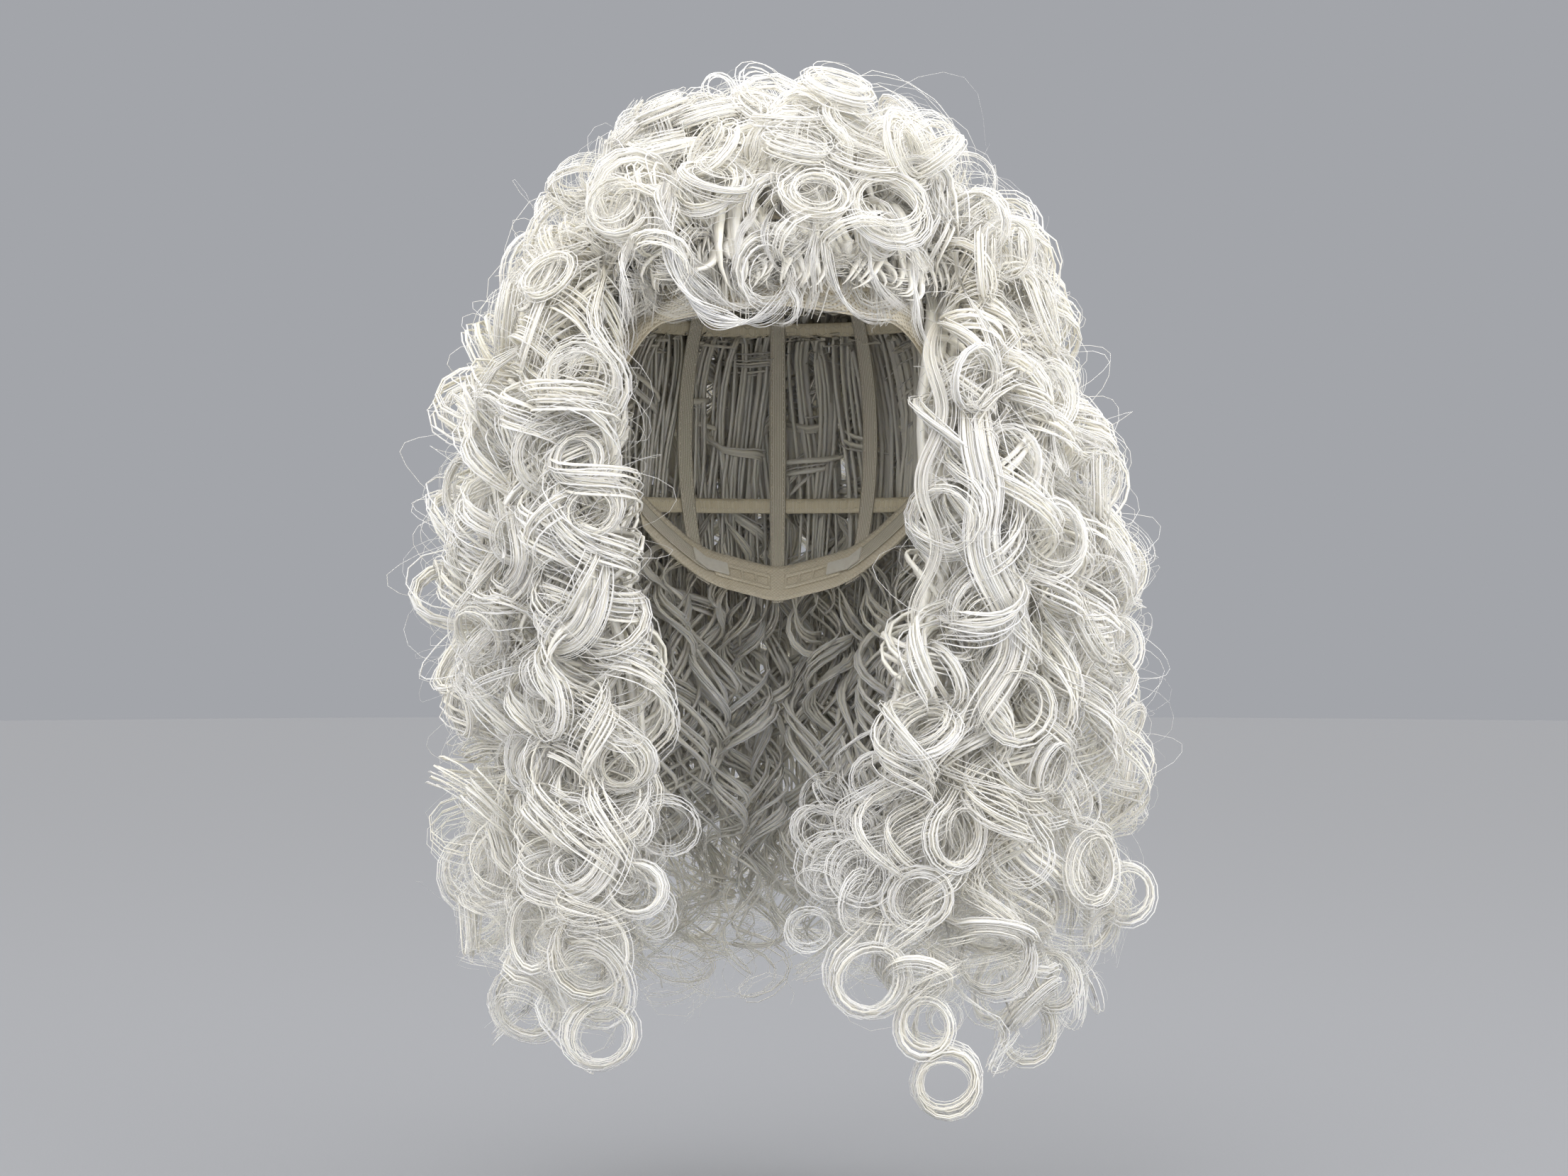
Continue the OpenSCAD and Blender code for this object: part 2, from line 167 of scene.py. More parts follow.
# The net is the six-sided pattern between the points of a fine ball, stretched to the head.
tree, given = recipe("knotted_net", (("Fineness", "Int"), ("Half axes", "Vector"), ("Lowest", "Float"),
                                     ("Cord radius", "Float"), ("Cord", "Material")))
ball = add(tree, "GeometryNodeMeshIcoSphere", {"Radius": 1.0, "Subdivisions": given["Fineness"]})["Mesh"]
grown = vector(tree, "MULTIPLY", add(tree, "GeometryNodeInputPosition")[0], given["Half axes"])
ball = add(tree, "GeometryNodeSetPosition", {"Geometry": ball, "Position": grown})[0]
height = add(tree, "ShaderNodeSeparateXYZ", {0: add(tree, "GeometryNodeInputPosition")[0]})["Z"]
below = add(tree, "FunctionNodeCompare", {0: height, 1: given["Lowest"]}, data_type="FLOAT",
            operation="LESS_THAN")[0]
dome = add(tree, "GeometryNodeDeleteGeometry", {"Geometry": ball, "Selection": below}, domain="POINT")[0]
holes = add(tree, "GeometryNodeDualMesh", {"Mesh": dome, "Keep Boundaries": True})["Dual Mesh"]
cords = add(tree, "GeometryNodeMeshToCurve", {"Mesh": holes})["Curve"]
round_it = add(tree, "GeometryNodeCurvePrimitiveCircle", {"Resolution": 3, "Radius": given["Cord radius"]})[0]
cords = add(tree, "GeometryNodeCurveToMesh", {"Curve": cords, "Profile Curve": round_it, "Fill Caps": True})[0]
finished(tree, cords, given["Cord"])
middle = HEAD + sum(NET) / 2
crown_net = grow("crown_net_cords", tree, {
    "Fineness": 5, "Half axes": middle / 1000, "Cord radius": 0.00033, "Cord": netting,
    "Lowest": middle[2] / 1000 * math.sin(math.radians(NET_EDGE))})
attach(crown_net, "cap")
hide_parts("crown_net")

# Front lace
# The closed front of the cap: one sheet of fine stretch lace from the hairline up to the net and round
# to the ears, pulled over the shape of the head and sewn to the net and the bindings.
LACE_TOP = 49.7                               # upper edge of the lace and the ribs, degrees of elevation
LACE_LOOP = 0.0016                            # pitch of the loops, m


def from_face(az):
    """Degrees of azimuth from the middle of the face, to either side."""
    return np.abs((az + 180) % 360 - 180)


def edge(az):
    """Elevation of the cap's sewn edge, eased round its corners."""
    az = np.asarray(az, float)[..., None] + np.linspace(-6, 6, 9)
    return np.interp(from_face(az), (0, 46, 58, 86, 98, 124, 150, 180),
                     (27, 23, 10, 3, 0, -23, -39, -45)).mean(-1)


def panel(name, body, replaced, material, patches, endwise=False):
    """A closed thin piece of cloth on the head, of patches (low edge, high edge, first and last azimuth,
    inner and outer offset, cells along and across). Its UV map is in metres, along the cloth and across."""
    places, faces, cloth = [], [], []
    for low, high, start, end, inner, outer, cells in patches:
        round_it = end - start >= 360
        az, t = np.linspace(start, end, cells[0] + 1), np.linspace(0, 1, cells[1] + 1)
        low, high = [np.broadcast_to(line(az) if callable(line) else float(line), az.shape) for line in (low, high)]
        el = low[:, None] + (high - low)[:, None] * t
        full = np.broadcast_to(1 - np.abs(2 * t - 1) ** 8, el.shape)
        if not round_it:
            full = full * (1 - np.abs(np.linspace(-1, 1, cells[0] + 1)) ** 24)[:, None]
        half = (outer - inner) / 2 * (0.3 + 0.7 * full)
        sides = [on_head(az[:, None], el, (inner + outer) / 2 + way * half) / 1000 for way in (1, -1)]
        run = np.linalg.norm(np.diff(sides[0][:, cells[1] // 2], axis=0), axis=1)
        u = np.concatenate([[0], np.cumsum(run)])
        climb = np.linalg.norm(np.diff(sides[0], axis=1), axis=2)
        v = np.concatenate([np.zeros((cells[0] + 1, 1)), np.cumsum(climb, axis=1)], 1)
        columns, rows = cells[0] + (not round_it), cells[1] + 1
        first = sum(len(p) for p in places)
        places += [side[:columns].reshape(-1, 3) for side in sides]
        quads = []
        for i in range(cells[0]):
            for j in range(cells[1]):
                quads += [((0, i, j), (0, i + 1, j), (0, i + 1, j + 1), (0, i, j + 1)),
                          ((1, i, j), (1, i, j + 1), (1, i + 1, j + 1), (1, i + 1, j))]
            last = cells[1]
            quads += [((1, i, 0), (1, i + 1, 0), (0, i + 1, 0), (0, i, 0)),
                      ((0, i, last), (0, i + 1, last), (1, i + 1, last), (1, i, last))]
        for j in range(0 if round_it else cells[1]):
            last = cells[0]
            quads += [((0, 0, j), (0, 0, j + 1), (1, 0, j + 1), (1, 0, j)),
                      ((1, last, j), (1, last, j + 1), (0, last, j + 1), (0, last, j))]
        for quad in quads:
            faces.append([first + (side * columns + i % columns) * rows + j for side, i, j in quad])
            cloth += [(v[i, j], u[i]) if endwise else (u[i], v[i, j]) for side, i, j in quad]
    mesh = bpy.data.meshes.new(name)
    mesh.from_pydata(np.concatenate(places).tolist(), [], faces)
    mesh.uv_layers.new(name="cloth").data.foreach_set("uv", np.array(cloth, np.float32).ravel())
    mesh.polygons.foreach_set("use_smooth", [True] * len(faces))
    mesh.materials.append(material)
    piece = bpy.data.objects.new(name, mesh)
    bpy.context.scene.collection.objects.link(piece)
    if body:
        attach(piece, body)
    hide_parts(*replaced)
    return piece


# Stretch lace: a fine warp-knit polyester with a six-sided ground. The real loops are about 1 mm apart,
# drawn here at 1.6 mm so that they show, as pale threads round loops painted darker, a painted shade.
lace, nodes = surface("stretch_lace")
cloth = add(nodes, "ShaderNodeUVMap", uv_map="cloth")[0]
loops = 0.0
for turn in (0, 60, 120):
    way = [math.tau / LACE_LOOP * c for c in (math.cos(math.radians(turn)), math.sin(math.radians(turn)), 0)]
    loops = calc(nodes, "ADD", calc(nodes, "COSINE", vector(nodes, "DOT_PRODUCT", cloth, way)), loops)
# painted shade: the open loops are coloured darker than the threads round them
open_ = ranged(nodes, loops, 0.4, 2.4)
coat(nodes, between(nodes, open_, "#efe7d4", "#b9ab8e"), {"Roughness": 0.78, "Sheen Weight": 0.2},
     open_, 0.7, 0.0003, invert=True)
front_lace = panel("front_lace_sheet", "cap", ("front_lace",), lace,
                   [(lambda az: np.maximum(edge(az) + 0.3, 12.3), LACE_TOP, -90, 90, *NET, (96, 14))])

# Edge bindings
# Folded cotton tape sewn round the opening: across the forehead, behind each ear and along the nape.
# Two rows of lockstitch hold each one to the lace and the ribs.
BAND = (3.1, 4.1)                             # bindings and ear tabs, mm off the head
BAND_WIDE = 11.0                              # degrees of elevation, 18 mm
YARN_WAVE = 0.0018                            # two yarns of the drawn weave, m

# Cotton tape: a plain weave of off-white yarn. The yarns are 0.4 mm apart, drawn at 0.9 mm so that the
# weave shows with painted shade where each yarn dips under the next, and the tape is a little creamier
# along its worn patches.
cotton, nodes = surface("woven_cotton_tape")
cloth = add(nodes, "ShaderNodeUVMap", uv_map="cloth")[0]
weave = 1.0
for way in ((math.tau / YARN_WAVE, 0, 0), (0, math.tau / YARN_WAVE, 0)):
    weave = calc(nodes, "MULTIPLY", calc(nodes, "SINE", vector(nodes, "DOT_PRODUCT", cloth, way)), weave)
yarn = ranged(nodes, weave, -1.0, 1.0)
worn = calc(nodes, "MULTIPLY", noise(nodes, cloth, 60.0, 3.0), 0.5)
# painted shade between the yarns, mixed with the real creamier wear
mixed = calc(nodes, "MULTIPLY_ADD", yarn, 0.5, worn)
coat(nodes, between(nodes, mixed, "#d6c9ac", "#f6f0e2"), {"Roughness": 0.85, "Sheen Weight": 0.25},
     yarn, 0.6, 0.0003)
rows = []
for name, start, end, wide, cells in (("front_band", -57, 57, BAND_WIDE, (72, 8)),
                                      ("left_ear_binding", 87, 123, BAND_WIDE / 2, (24, 6)),
                                      ("right_ear_binding", -123, -87, BAND_WIDE / 2, (24, 6)),
                                      ("nape_band", 124, 236, BAND_WIDE, (72, 8))):
    panel(name + "_tape", "cap", (name,), cotton,
          [(edge, lambda az, wide=wide: edge(az) + wide, start, end, *BAND, cells)])
    az = np.linspace(start + 1, end - 1, 60)
    rows += [(az, edge(az) + wide * t, BAND[0] - 0.05) for t in (0.1, 0.88)]


def attribute(tree, name, kind="FLOAT"):
    """A named attribute of the geometry."""
    return add(tree, "GeometryNodeInputNamedAttribute", {"Name": name}, data_type=kind)[0]


# Polyester sewing thread: glossy off-white, with the turn of its ply every 0.6 mm painted as light and
# dark bands, a painted shade between the turns.
thread, nodes = surface("polyester_sewing_thread")
where = add(nodes, "ShaderNodeTexCoord")["Object"]
ply = add(nodes, "ShaderNodeTexWave", {"Vector": where, "Scale": 520.0, "Distortion": 1.0})["Fac"]
# painted shade: darker bands between the turns of the ply
coat(nodes, between(nodes, ply, "#ded3ba", "#fbf6ea"), {"Roughness": 0.42, "Specular IOR Level": 0.5})

# A row of stitches: short lengths of thread along a line, each leaning to one side of it in turn.
stitches, given = recipe("row_of_stitches", (
    ("Geometry", "Geometry"), ("Pitch", "Float"), ("Stitch length", "Float"), ("Thread radius", "Float"),
    ("Lean", "Float"), ("Thread", "Material")))
lines = add(stitches, "GeometryNodeMeshToCurve", {"Mesh": given["Geometry"]})["Curve"]
spots = add(stitches, "GeometryNodeCurveToPoints", {"Curve": lines, "Length": given["Pitch"]}, mode="LENGTH")
out = attribute(stitches, "out", "FLOAT_VECTOR")
aside = vector(stitches, "CROSS_PRODUCT", out, spots["Tangent"])
turn = add(stitches, "FunctionNodeIntegerMath", {0: add(stitches, "GeometryNodeInputIndex")[0], 1: 2},
           operation="MODULO")[0]
lean = calc(stitches, "MULTIPLY", calc(stitches, "MULTIPLY_ADD", turn, 2.0, -1.0), given["Lean"])
way = vector(stitches, "MULTIPLY_ADD", aside, lean, spots["Tangent"])
turned_to = add(stitches, "FunctionNodeAlignRotationToVector", {"Vector": way}, axis="Z")[0]
grain = add(stitches, "GeometryNodeMeshIcoSphere", {"Radius": 1.0, "Subdivisions": 1})["Mesh"]
long = calc(stitches, "MULTIPLY", given["Stitch length"], 0.5)
size = add(stitches, "ShaderNodeCombineXYZ", {0: given["Thread radius"], 1: given["Thread radius"], 2: long})[0]
grain = add(stitches, "GeometryNodeTransform", {"Geometry": grain, "Scale": size})[0]
sewn = add(stitches, "GeometryNodeInstanceOnPoints",
           {"Points": spots["Points"], "Instance": grain, "Rotation": turned_to})[0]
finished(stitches, sewn, given["Thread"])


def sew(name, body, lines, pitch, length, radius, lean=0.0):
    """Rows of stitches along lines of azimuth, elevation and offset. Sizes are in mm."""
    mesh = bpy.data.meshes.new(name)
    places = [on_head(*line) for line in lines]
    edges, first = [], 0
    for place in places:
        edges += [(first + i, first + i + 1) for i in range(len(place) - 1)]
        first += len(place)
    places = np.concatenate(places)
    outs = places / np.square(HEAD)
    outs /= np.linalg.norm(outs, axis=1)[:, None]
    mesh.from_pydata((places / 1000).tolist(), edges, [])
    mesh.attributes.new("out", "FLOAT_VECTOR", "POINT").data.foreach_set("vector", outs.astype(np.float32).ravel())
    piece = grow(name, stitches, {"Pitch": pitch / 1000, "Stitch length": length / 1000, "Thread radius": radius / 1000,
                                  "Lean": lean, "Thread": thread}, mesh)
    if body:
        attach(piece, body)
    return piece


sew("binding_stitches", "cap", rows, 3.2, 2.4, 0.28)

# Elastic ribs
# Five flat elastic tapes from the edge up to the net, at the back and behind the ears. They keep the
# cap's shape and let it stretch, and a row of stitches runs down each side.
RIB_HALF = 2.75                               # degrees of azimuth
CORE_WAVE, YARN_STEP = 0.0022, 0.0008         # two rubber cores, and the yarns across them, m

# Braided elastic: rubber cores 1.1 mm apart under a polyester braid, so the tape is ribbed along its
# length and crossed by fine yarns, drawn 0.8 mm apart. The grooves are painted darker, a painted shade.
elastic, nodes = surface("braided_elastic")
cloth = add(nodes, "ShaderNodeUVMap", uv_map="cloth")[0]
cores = vector(nodes, "DOT_PRODUCT", cloth, (0, math.tau / CORE_WAVE, 0))
cores = calc(nodes, "ABSOLUTE", calc(nodes, "SINE", cores))
yarns = vector(nodes, "DOT_PRODUCT", cloth, (math.tau / YARN_STEP, math.tau / CORE_WAVE, 0))
high = calc(nodes, "MULTIPLY_ADD", calc(nodes, "SINE", yarns), 0.16, cores)
# painted shade: the colour follows the height of the ribs and yarns, darker in the grooves
coat(nodes, between(nodes, ranged(nodes, high, 0.0, 1.1), "#c9bea4", "#f7f3e8"),
     {"Roughness": 0.62, "Sheen Weight": 0.15}, high, 0.8, 0.0004)
rows = []
for name, az in (("centre_rib", 180), ("left_back_rib", 148), ("right_back_rib", -148),
                 ("left_side_rib", 112), ("right_side_rib", -112)):
    panel(name + "_tape", "cap", (name,), elastic,
          [(edge, LACE_TOP, az - RIB_HALF, az + RIB_HALF, *NET, (6, 48))], endwise=True)
    el = np.linspace(float(edge(az)) + 2, NET_EDGE, 40)
    rows += [(az + s * RIB_HALF * 0.72, el, NET[0] - 0.02) for s in (-1, 1)]
sew("rib_stitches", "cap", rows, 3.4, 2.2, 0.24, 0.5)

# Ear tabs and stays
# A shaped flap of cotton tape in front of each ear, lapped under the lace and sewn there, with a flat
# spring steel stay inside that presses it to the head. The cloth can bend where it leaves the lace; here it
# is drawn lying on the head.
STRAP = (1.8, 2.6)                            # straps, ladder tapes and stays, mm off the head


def tab_low(az):
    """Elevation of a tab's rounded lower edge."""
    return -16 + 24 * np.abs(2 * (np.abs(az) - 58) / 28 - 1) ** 2.5


def clad(solid, material):
    """Gives a CAD solid that stays in view its material."""
    solid.data.materials.clear()
    solid.data.materials.append(material)


# Spring steel: cold rolled and bright, with fine rolling marks along the strip.
steel, nodes = surface("rolled_spring_steel")
where = add(nodes, "ShaderNodeTexCoord")["Object"]
marks = noise(nodes, vector(nodes, "MULTIPLY", where, (4000.0, 4000.0, 160.0)), 1.0)
coat(nodes, between(nodes, marks, "#9c9fa2", "#d3d5d6"),
     {"Metallic": 1.0, "Roughness": ranged(nodes, marks, 0.3, 0.7, 0.24, 0.46)}, marks, 0.25, 0.0001)
for side, name in ((1, "left"), (-1, "right")):
    first, last = sorted((side * 58.5, side * 85.5))
    tab = panel(name + "_ear_tab_cloth", None, (name + "_ear_tab",), cotton,
                [(tab_low, 13.5, first, last, *BAND, (30, 16))])
    az = np.linspace(first + 2, last - 2, 40)
    rows = sew(name + "_ear_tab_stitches", None,
               [(az, np.minimum(tab_low(az) + 1.6, 11.5), BAND[0] - 0.05)], 3.0, 2.2, 0.26)
    for piece in (tab, rows):
        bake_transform(piece)
    clad(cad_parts[name + "_ear_stay"], steel)

# Nape adjusters
# At each side of the nape an elastic strap, sewn at its outer end, carries a moulded hook that catches
# in one gap of a woven ladder tape. The ladder tapes are sewn to the nape band and set the fit.
STRAP_HALF = 2.45                             # degrees of elevation, 4 mm
RAIL = 1.2                                    # degrees of elevation, 2 mm
TAPE_START, RUNG_STEP, RUNG_WIDE = 153, 5.68, 1.04    # degrees of azimuth
STRAP_START = 124                             # degrees of azimuth


def along_band(up):
    """A line round the nape, some degrees over the middle of the band."""
    return lambda az: edge(az) + BAND_WIDE / 2 + up


# Moulded nylon: milky white and satin, with the faint flow marks of a small tool.
nylon, nodes = surface("moulded_nylon")
marks = noise(nodes, add(nodes, "ShaderNodeTexCoord")["Object"], 420.0, 3.0)
coat(nodes, between(nodes, marks, "#e4e0d6", "#f5f3ec"),
     {"Roughness": ranged(nodes, marks, 0.3, 0.7, 0.3, 0.42), "IOR": 1.53, "Subsurface Weight": 0.2,
      "Subsurface Radius": (1.0, 0.95, 0.85), "Subsurface Scale": 0.001}, marks, 0.15, 0.0002)
for side, name in ((1, "left"), (-1, "right")):
    first, last = sorted((side * TAPE_START, side * 177))
    tape = [(along_band(-STRAP_HALF), along_band(-STRAP_HALF + RAIL), first, last, *STRAP, (28, 4)),
            (along_band(STRAP_HALF - RAIL), along_band(STRAP_HALF), first, last, *STRAP, (28, 4))]
    for i in range(5):
        start = 153.2 + RUNG_STEP * i
        rung = sorted((side * start, side * (start + RUNG_WIDE)))
        tape.append((along_band(-STRAP_HALF + RAIL / 2), along_band(STRAP_HALF - RAIL / 2), *rung,
                     STRAP[0] + 0.15, STRAP[1] - 0.15, (2, 6)))
    panel(name + "_ladder_tape_cloth", "cap", (name + "_ladder_tape",), cotton, tape)
    first, last = sorted((side * STRAP_START, side * 150))
    strap = panel(name + "_strap_elastic", None, (name + "_strap",), elastic,
                  [(along_band(-STRAP_HALF), along_band(STRAP_HALF), first, last, *STRAP, (36, 8))])
    sewn_end, free_end = [(on_head(side * az, float(edge(az)) + BAND_WIDE / 2, sum(STRAP) / 2) / 1000).tolist()
                          for az in (STRAP_START, STRAP_START + 6)]
    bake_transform(strap)
    clad(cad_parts[name + "_hook"], nylon)

# Hair tracks
# The heads of the machine-sewn wefts: fibre folded over and stitched into a flat cord, which is sewn
# to the cap in rings round the crown and in rows across the brow, the sides, the back and the nape.
TRACK = (5.9, 7.9)                            # mm off the head
TRACK_HALF = 1.84                             # degrees of elevation, 3 mm

# Sewn weft: cream fibre laid across the track, with the shade of the folds between the fibres, about
# 0.7 mm apart.
weft, nodes = surface("sewn_weft_fibre")
cloth = add(nodes, "ShaderNodeUVMap", uv_map="cloth")[0]
laid = noise(nodes, vector(nodes, "MULTIPLY", cloth, (1400.0, 90.0, 0.0)), 1.0)
coat(nodes, between(nodes, laid, "#d9cba6", "#fbf5e4"), {"Roughness": 0.5}, laid, 0.7, 0.0005)
rows = []
for name, line, start, end, cells in (
        ("fringe_track", 32.0, -48, 48, 56), ("lower_crown_track", 47.0, 0, 360, 120),
        ("middle_crown_track", 66.0, 0, 360, 96), ("upper_crown_track", 79.0, 0, 360, 64),
        ("left_side_track", 30.0, 57, 112, 40), ("right_side_track", 30.0, -112, -57, 40),
        ("back_track", 28.0, 117, 243, 72),
        ("lower_back_track", lambda az: np.maximum(edge(az) + 4, -16), 116, 244, 72),
        ("nape_track", lambda az: edge(az) + 4, 130, 230, 64)):
    level = line if callable(line) else (lambda az, line=line: np.full_like(az, line))
    panel(name + "_weft", "cap", (name,), weft,
          [(lambda az: level(az) - TRACK_HALF, lambda az: level(az) + TRACK_HALF, start, end, *TRACK, (cells, 5))])
    az = np.linspace(start + 0.5, end - 0.5, 2 * cells)
    rows += [(az, level(az) + t * TRACK_HALF, TRACK[0] - 0.05) for t in (-0.5, 0.5)]
sew("track_stitches", "cap", rows, 2.4, 2.6, 0.22, 0.7)

# Nape layer
# The two lowest wefts of curled synthetic fibre, sewn along the nape. They hang in loose waves behind
# the neck, and only their shaded front shows between the long curls.
ROOT = 8                                      # roots of the hair, mm off the head
BEHIND_EAR = 119                              # the back hair is rooted from here on, degrees of azimuth


def outside(az, reach, z):
    """A point in mm level with z, at a reach outside the widest line of the head."""
    az = math.radians(az)
    return np.array([(HEAD[0] + reach) * math.sin(az), -(HEAD[1] + reach) * math.cos(az), z])


def outward(az, el):
    """The way straight out of the head."""
    way = on_head(az, el, 0) / np.square(HEAD)
    return way / np.linalg.norm(way)


def flow(points, count=90):
    """A smooth line in mm that starts and ends on its control points and is pulled by the rest."""
    p = np.array([points[0]] * 2 + list(points) + [points[-1]] * 2, float)
    t = np.linspace(0, len(p) - 3 - 1e-6, count)
    i = t.astype(int)
    u = (t - i)[:, None]
    return ((1 - u) ** 3 * p[i] + (3 * u ** 3 - 6 * u ** 2 + 4) * p[i + 1]
            + (1 + 3 * u + 3 * u ** 2 - 3 * u ** 3) * p[i + 2] + u ** 3 * p[i + 3]) / 6


def falling(root, away, points, flick):
    """The line of a long lock: out of its track, over an arch, down through points, and a flick."""
    return flow([root, root + away, *points, points[-1] + flick], 30 + 20 * len(points))


def ease(t):
    t = np.clip(t, 0, 1)
    return t * t * (3 - 2 * t)


def crossing(line, away):
    """The way across a lock at each point, square to its run and to the way out of the curl."""
    across = np.cross(np.gradient(line, axis=0), away)
    return across / (np.linalg.norm(across, axis=1)[:, None] + 1e-9)


def curled(line, radius, pitch, chance, opening=40, end_pitch=None, end_radius=None, wander=4,
           phase=None, hand=None, girth=1.0, tight=0.82, fine=9):
    """A lock wound round a line in mm: it opens to its curl over a length from the root, and over
    the last part of the line it winds to its end pitch and radius."""
    hand = hand or chance.choice([-1, 1])
    phase = chance.uniform(0, 2 * math.pi) if phase is None else phase
    step = np.linalg.norm(np.diff(line, axis=0), axis=1)
    gone = np.concatenate([[0], np.cumsum(step)])
    whole = gone[-1]
    share = gone / whole
    late = ease((share - tight) / (1 - tight))
    pitches = pitch * (1 + 0.15 * np.sin(share * 9 + phase)) * (1 - late) + (end_pitch or pitch) * late
    turn = np.concatenate([[0], np.cumsum(step / (0.5 * (pitches[1:] + pitches[:-1])))])
    count = int(turn[-1] * fine + whole / 16) + 4
    # even steps of turn and length together, so that tight rings get as many points as loose waves
    pace = turn * fine + gone / 16
    at = np.interp(np.linspace(0, pace[-1], count), pace, gone)
    centre = np.stack([np.interp(at, gone, line[:, k]) for k in range(3)], 1)
    f = at / whole
    sway = chance.uniform(0, 2 * math.pi, (3, 2))
    centre = centre + wander * ease(at / 50)[:, None] * np.stack(
        [np.sin(at / 17 + a) * 0.5 + np.sin(at / 31 + b) for a, b in sway], 1)
    heading = np.gradient(centre, axis=0)
    heading /= np.linalg.norm(heading, axis=1)[:, None]
    side = np.cross(heading[0], [0.3, 0.2, 0.9])
    sides = []
    for way in heading:
        side = side - way * side.dot(way)
        side = side / np.linalg.norm(side)
        sides.append(side)
    sides = np.array(sides)
    angle = phase + hand * 2 * math.pi * np.interp(at, gone, turn)
    away = np.cos(angle)[:, None] * sides + np.sin(angle)[:, None] * np.cross(heading, sides)
    late = np.interp(at, gone, late)
    size = radius * (1 + 0.18 * np.sin(at / 23 + sway[0, 0])) * (1 - late) + (end_radius or radius) * late
    place = centre + away * (size * ease(at / opening))[:, None]
    full = girth * (0.45 + 0.55 * ease(at / opening)) * (1 - 0.35 * ease((f - 0.85) / 0.15))
    return {"place": place, "across": crossing(place, away), "middle": centre, "girth": full,
            "shade": np.full(count, chance.uniform(0, 1))}


def combed(line, away, chance, crimp=1.0, girth=1.0):
    """A wide lock combed out flat along a line in mm, with its flat side turned away and a slight crimp."""
    away = away / np.linalg.norm(away, axis=1)[:, None]
    across = crossing(line, away)
    f = np.linspace(0, 1, len(line))
    wave = crimp * np.sin(f * len(line) * 0.55 + chance.uniform(0, 6.28)) * ease(f * 4)
    place = line + 2.5 * wave[:, None] * away + 3 * np.roll(wave, 3)[:, None] * across
    full = (0.4 + 0.6 * ease(f * 5)) * (1 - 0.4 * ease(f * 4 - 3))
    return {"place": place, "across": across, "middle": place - 9 * away, "girth": full * girth,
            "shade": np.full(len(line), chance.uniform(0.2, 0.9))}


# Curled synthetic fibre, extruded and heat set: satin cream white and different from lock to lock, and
# light passes through it. Towards the root it is painted a little yellower, a painted warm shade where the
# hair lies deep near the cap. It comes as two copies: the gathered cores are painted warmer and darker,
# a painted shade of the inside of a lock, and the loose fibres over them whiter, as lit. Fibres lie 0.1 mm
# apart, too fine to show, and are drawn as streaks 0.8 mm apart, with painted shade between them.
lit_and_shaded_fibre = {}
# a shaded copy of the fibre, painted warmer and darker for the gathered cores, and a lit copy, painted whiter
for name, deep, bright, painted_root_shade, clear in (
        ("shaded_synthetic_fibre", "#f8f2e0", "#fffdf6", "#f8f0da", 0.5),
        ("lit_synthetic_fibre", "#fdfaf0", "#ffffff", "#fbf5e4", 0.8)):
    lit_and_shaded_fibre[name], nodes = surface(name)
    tone, along, around, length = [add(nodes, "ShaderNodeAttribute", attribute_name=mark)["Fac"]
                                   for mark in ("tone", "along", "around", "length")]
    lie = add(nodes, "ShaderNodeCombineXYZ", {0: around, 1: length, 2: tone})[0]
    # painted shade: the streaks are coloured darker where they lie low between the fibres
    streak = noise(nodes, vector(nodes, "MULTIPLY", lie, (26.0, 18.0, 40.0)), 1.0)
    mixed = calc(nodes, "ADD", ranged(nodes, streak, 0.32, 0.68, 0.0, 0.6), calc(nodes, "MULTIPLY", tone, 0.5))
    # painted shade: the colour turns warmer towards the root, where the hair lies deep
    rooted = ranged(nodes, along, 0.0, 0.3, 0.8, 0.0)
    base = between(nodes, rooted, between(nodes, mixed, deep, bright), painted_root_shade)
    coat(nodes, base, {"Roughness": ranged(nodes, streak, 0.3, 0.7, 0.44, 0.62), "Specular IOR Level": 0.2,
                       "Sheen Weight": 0.5, "Sheen Roughness": 0.5, "Sheen Tint": linear("#fffaf0"),
                       "Subsurface Weight": clear, "Subsurface Radius": (1.0, 0.95, 0.8),
                       "Subsurface Scale": 0.002}, streak, 0.4, 0.0004)


def stored(tree, geometry, name, value, domain="POINT", kind="FLOAT"):
    """Geometry with a named attribute."""
    return add(tree, "GeometryNodeStoreNamedAttribute", {"Geometry": geometry, "Name": name, "Value": value},
               data_type=kind, domain=domain)[0]


# The tree that makes the fibres of each lock: copies of its line, set side by side across the lock,
# nearer to or further from the middle of the curl, straying, of different lengths and tapered.
strands, given = recipe("fibres_of_a_lock", (
    ("Geometry", "Geometry"), ("Fibres", "Int"), ("Lock width", "Float"), ("Loose", "Float"), ("Stray", "Float"),
    ("Fibre radius", "Float"), ("Flatness", "Float"), ("Sides", "Int"), ("Shortest", "Float"), ("Seed", "Int"),
    ("Fibre", "Material")))
lines = add(strands, "GeometryNodeMeshToCurve", {"Mesh": given["Geometry"]})["Curve"]
lines = add(strands, "GeometryNodeDuplicateElements", {"Geometry": lines, "Amount": given["Fibres"]},
            domain="SPLINE")["Geometry"]
number = add(strands, "GeometryNodeFieldOnDomain", {0: add(strands, "GeometryNodeInputIndex")[0]},
             data_type="INT", domain="CURVE")[0]
own = add(strands, "FunctionNodeIntegerMath", {0: given["Seed"], 1: 9973, 2: number}, operation="MULTIPLY_ADD")[0]
beside, deep, phase, fleck, ends = [
    add(strands, "FunctionNodeRandomValue", {2: low, 3: high, "ID": own, "Seed": seed}, data_type="FLOAT")[1]
    for low, high, seed in ((-0.5, 0.5, 0), (-1.0, 1.0, 1), (0.0, 60.0, 2), (-0.35, 0.35, 3),
                            (given["Shortest"], 1.0, 9))]
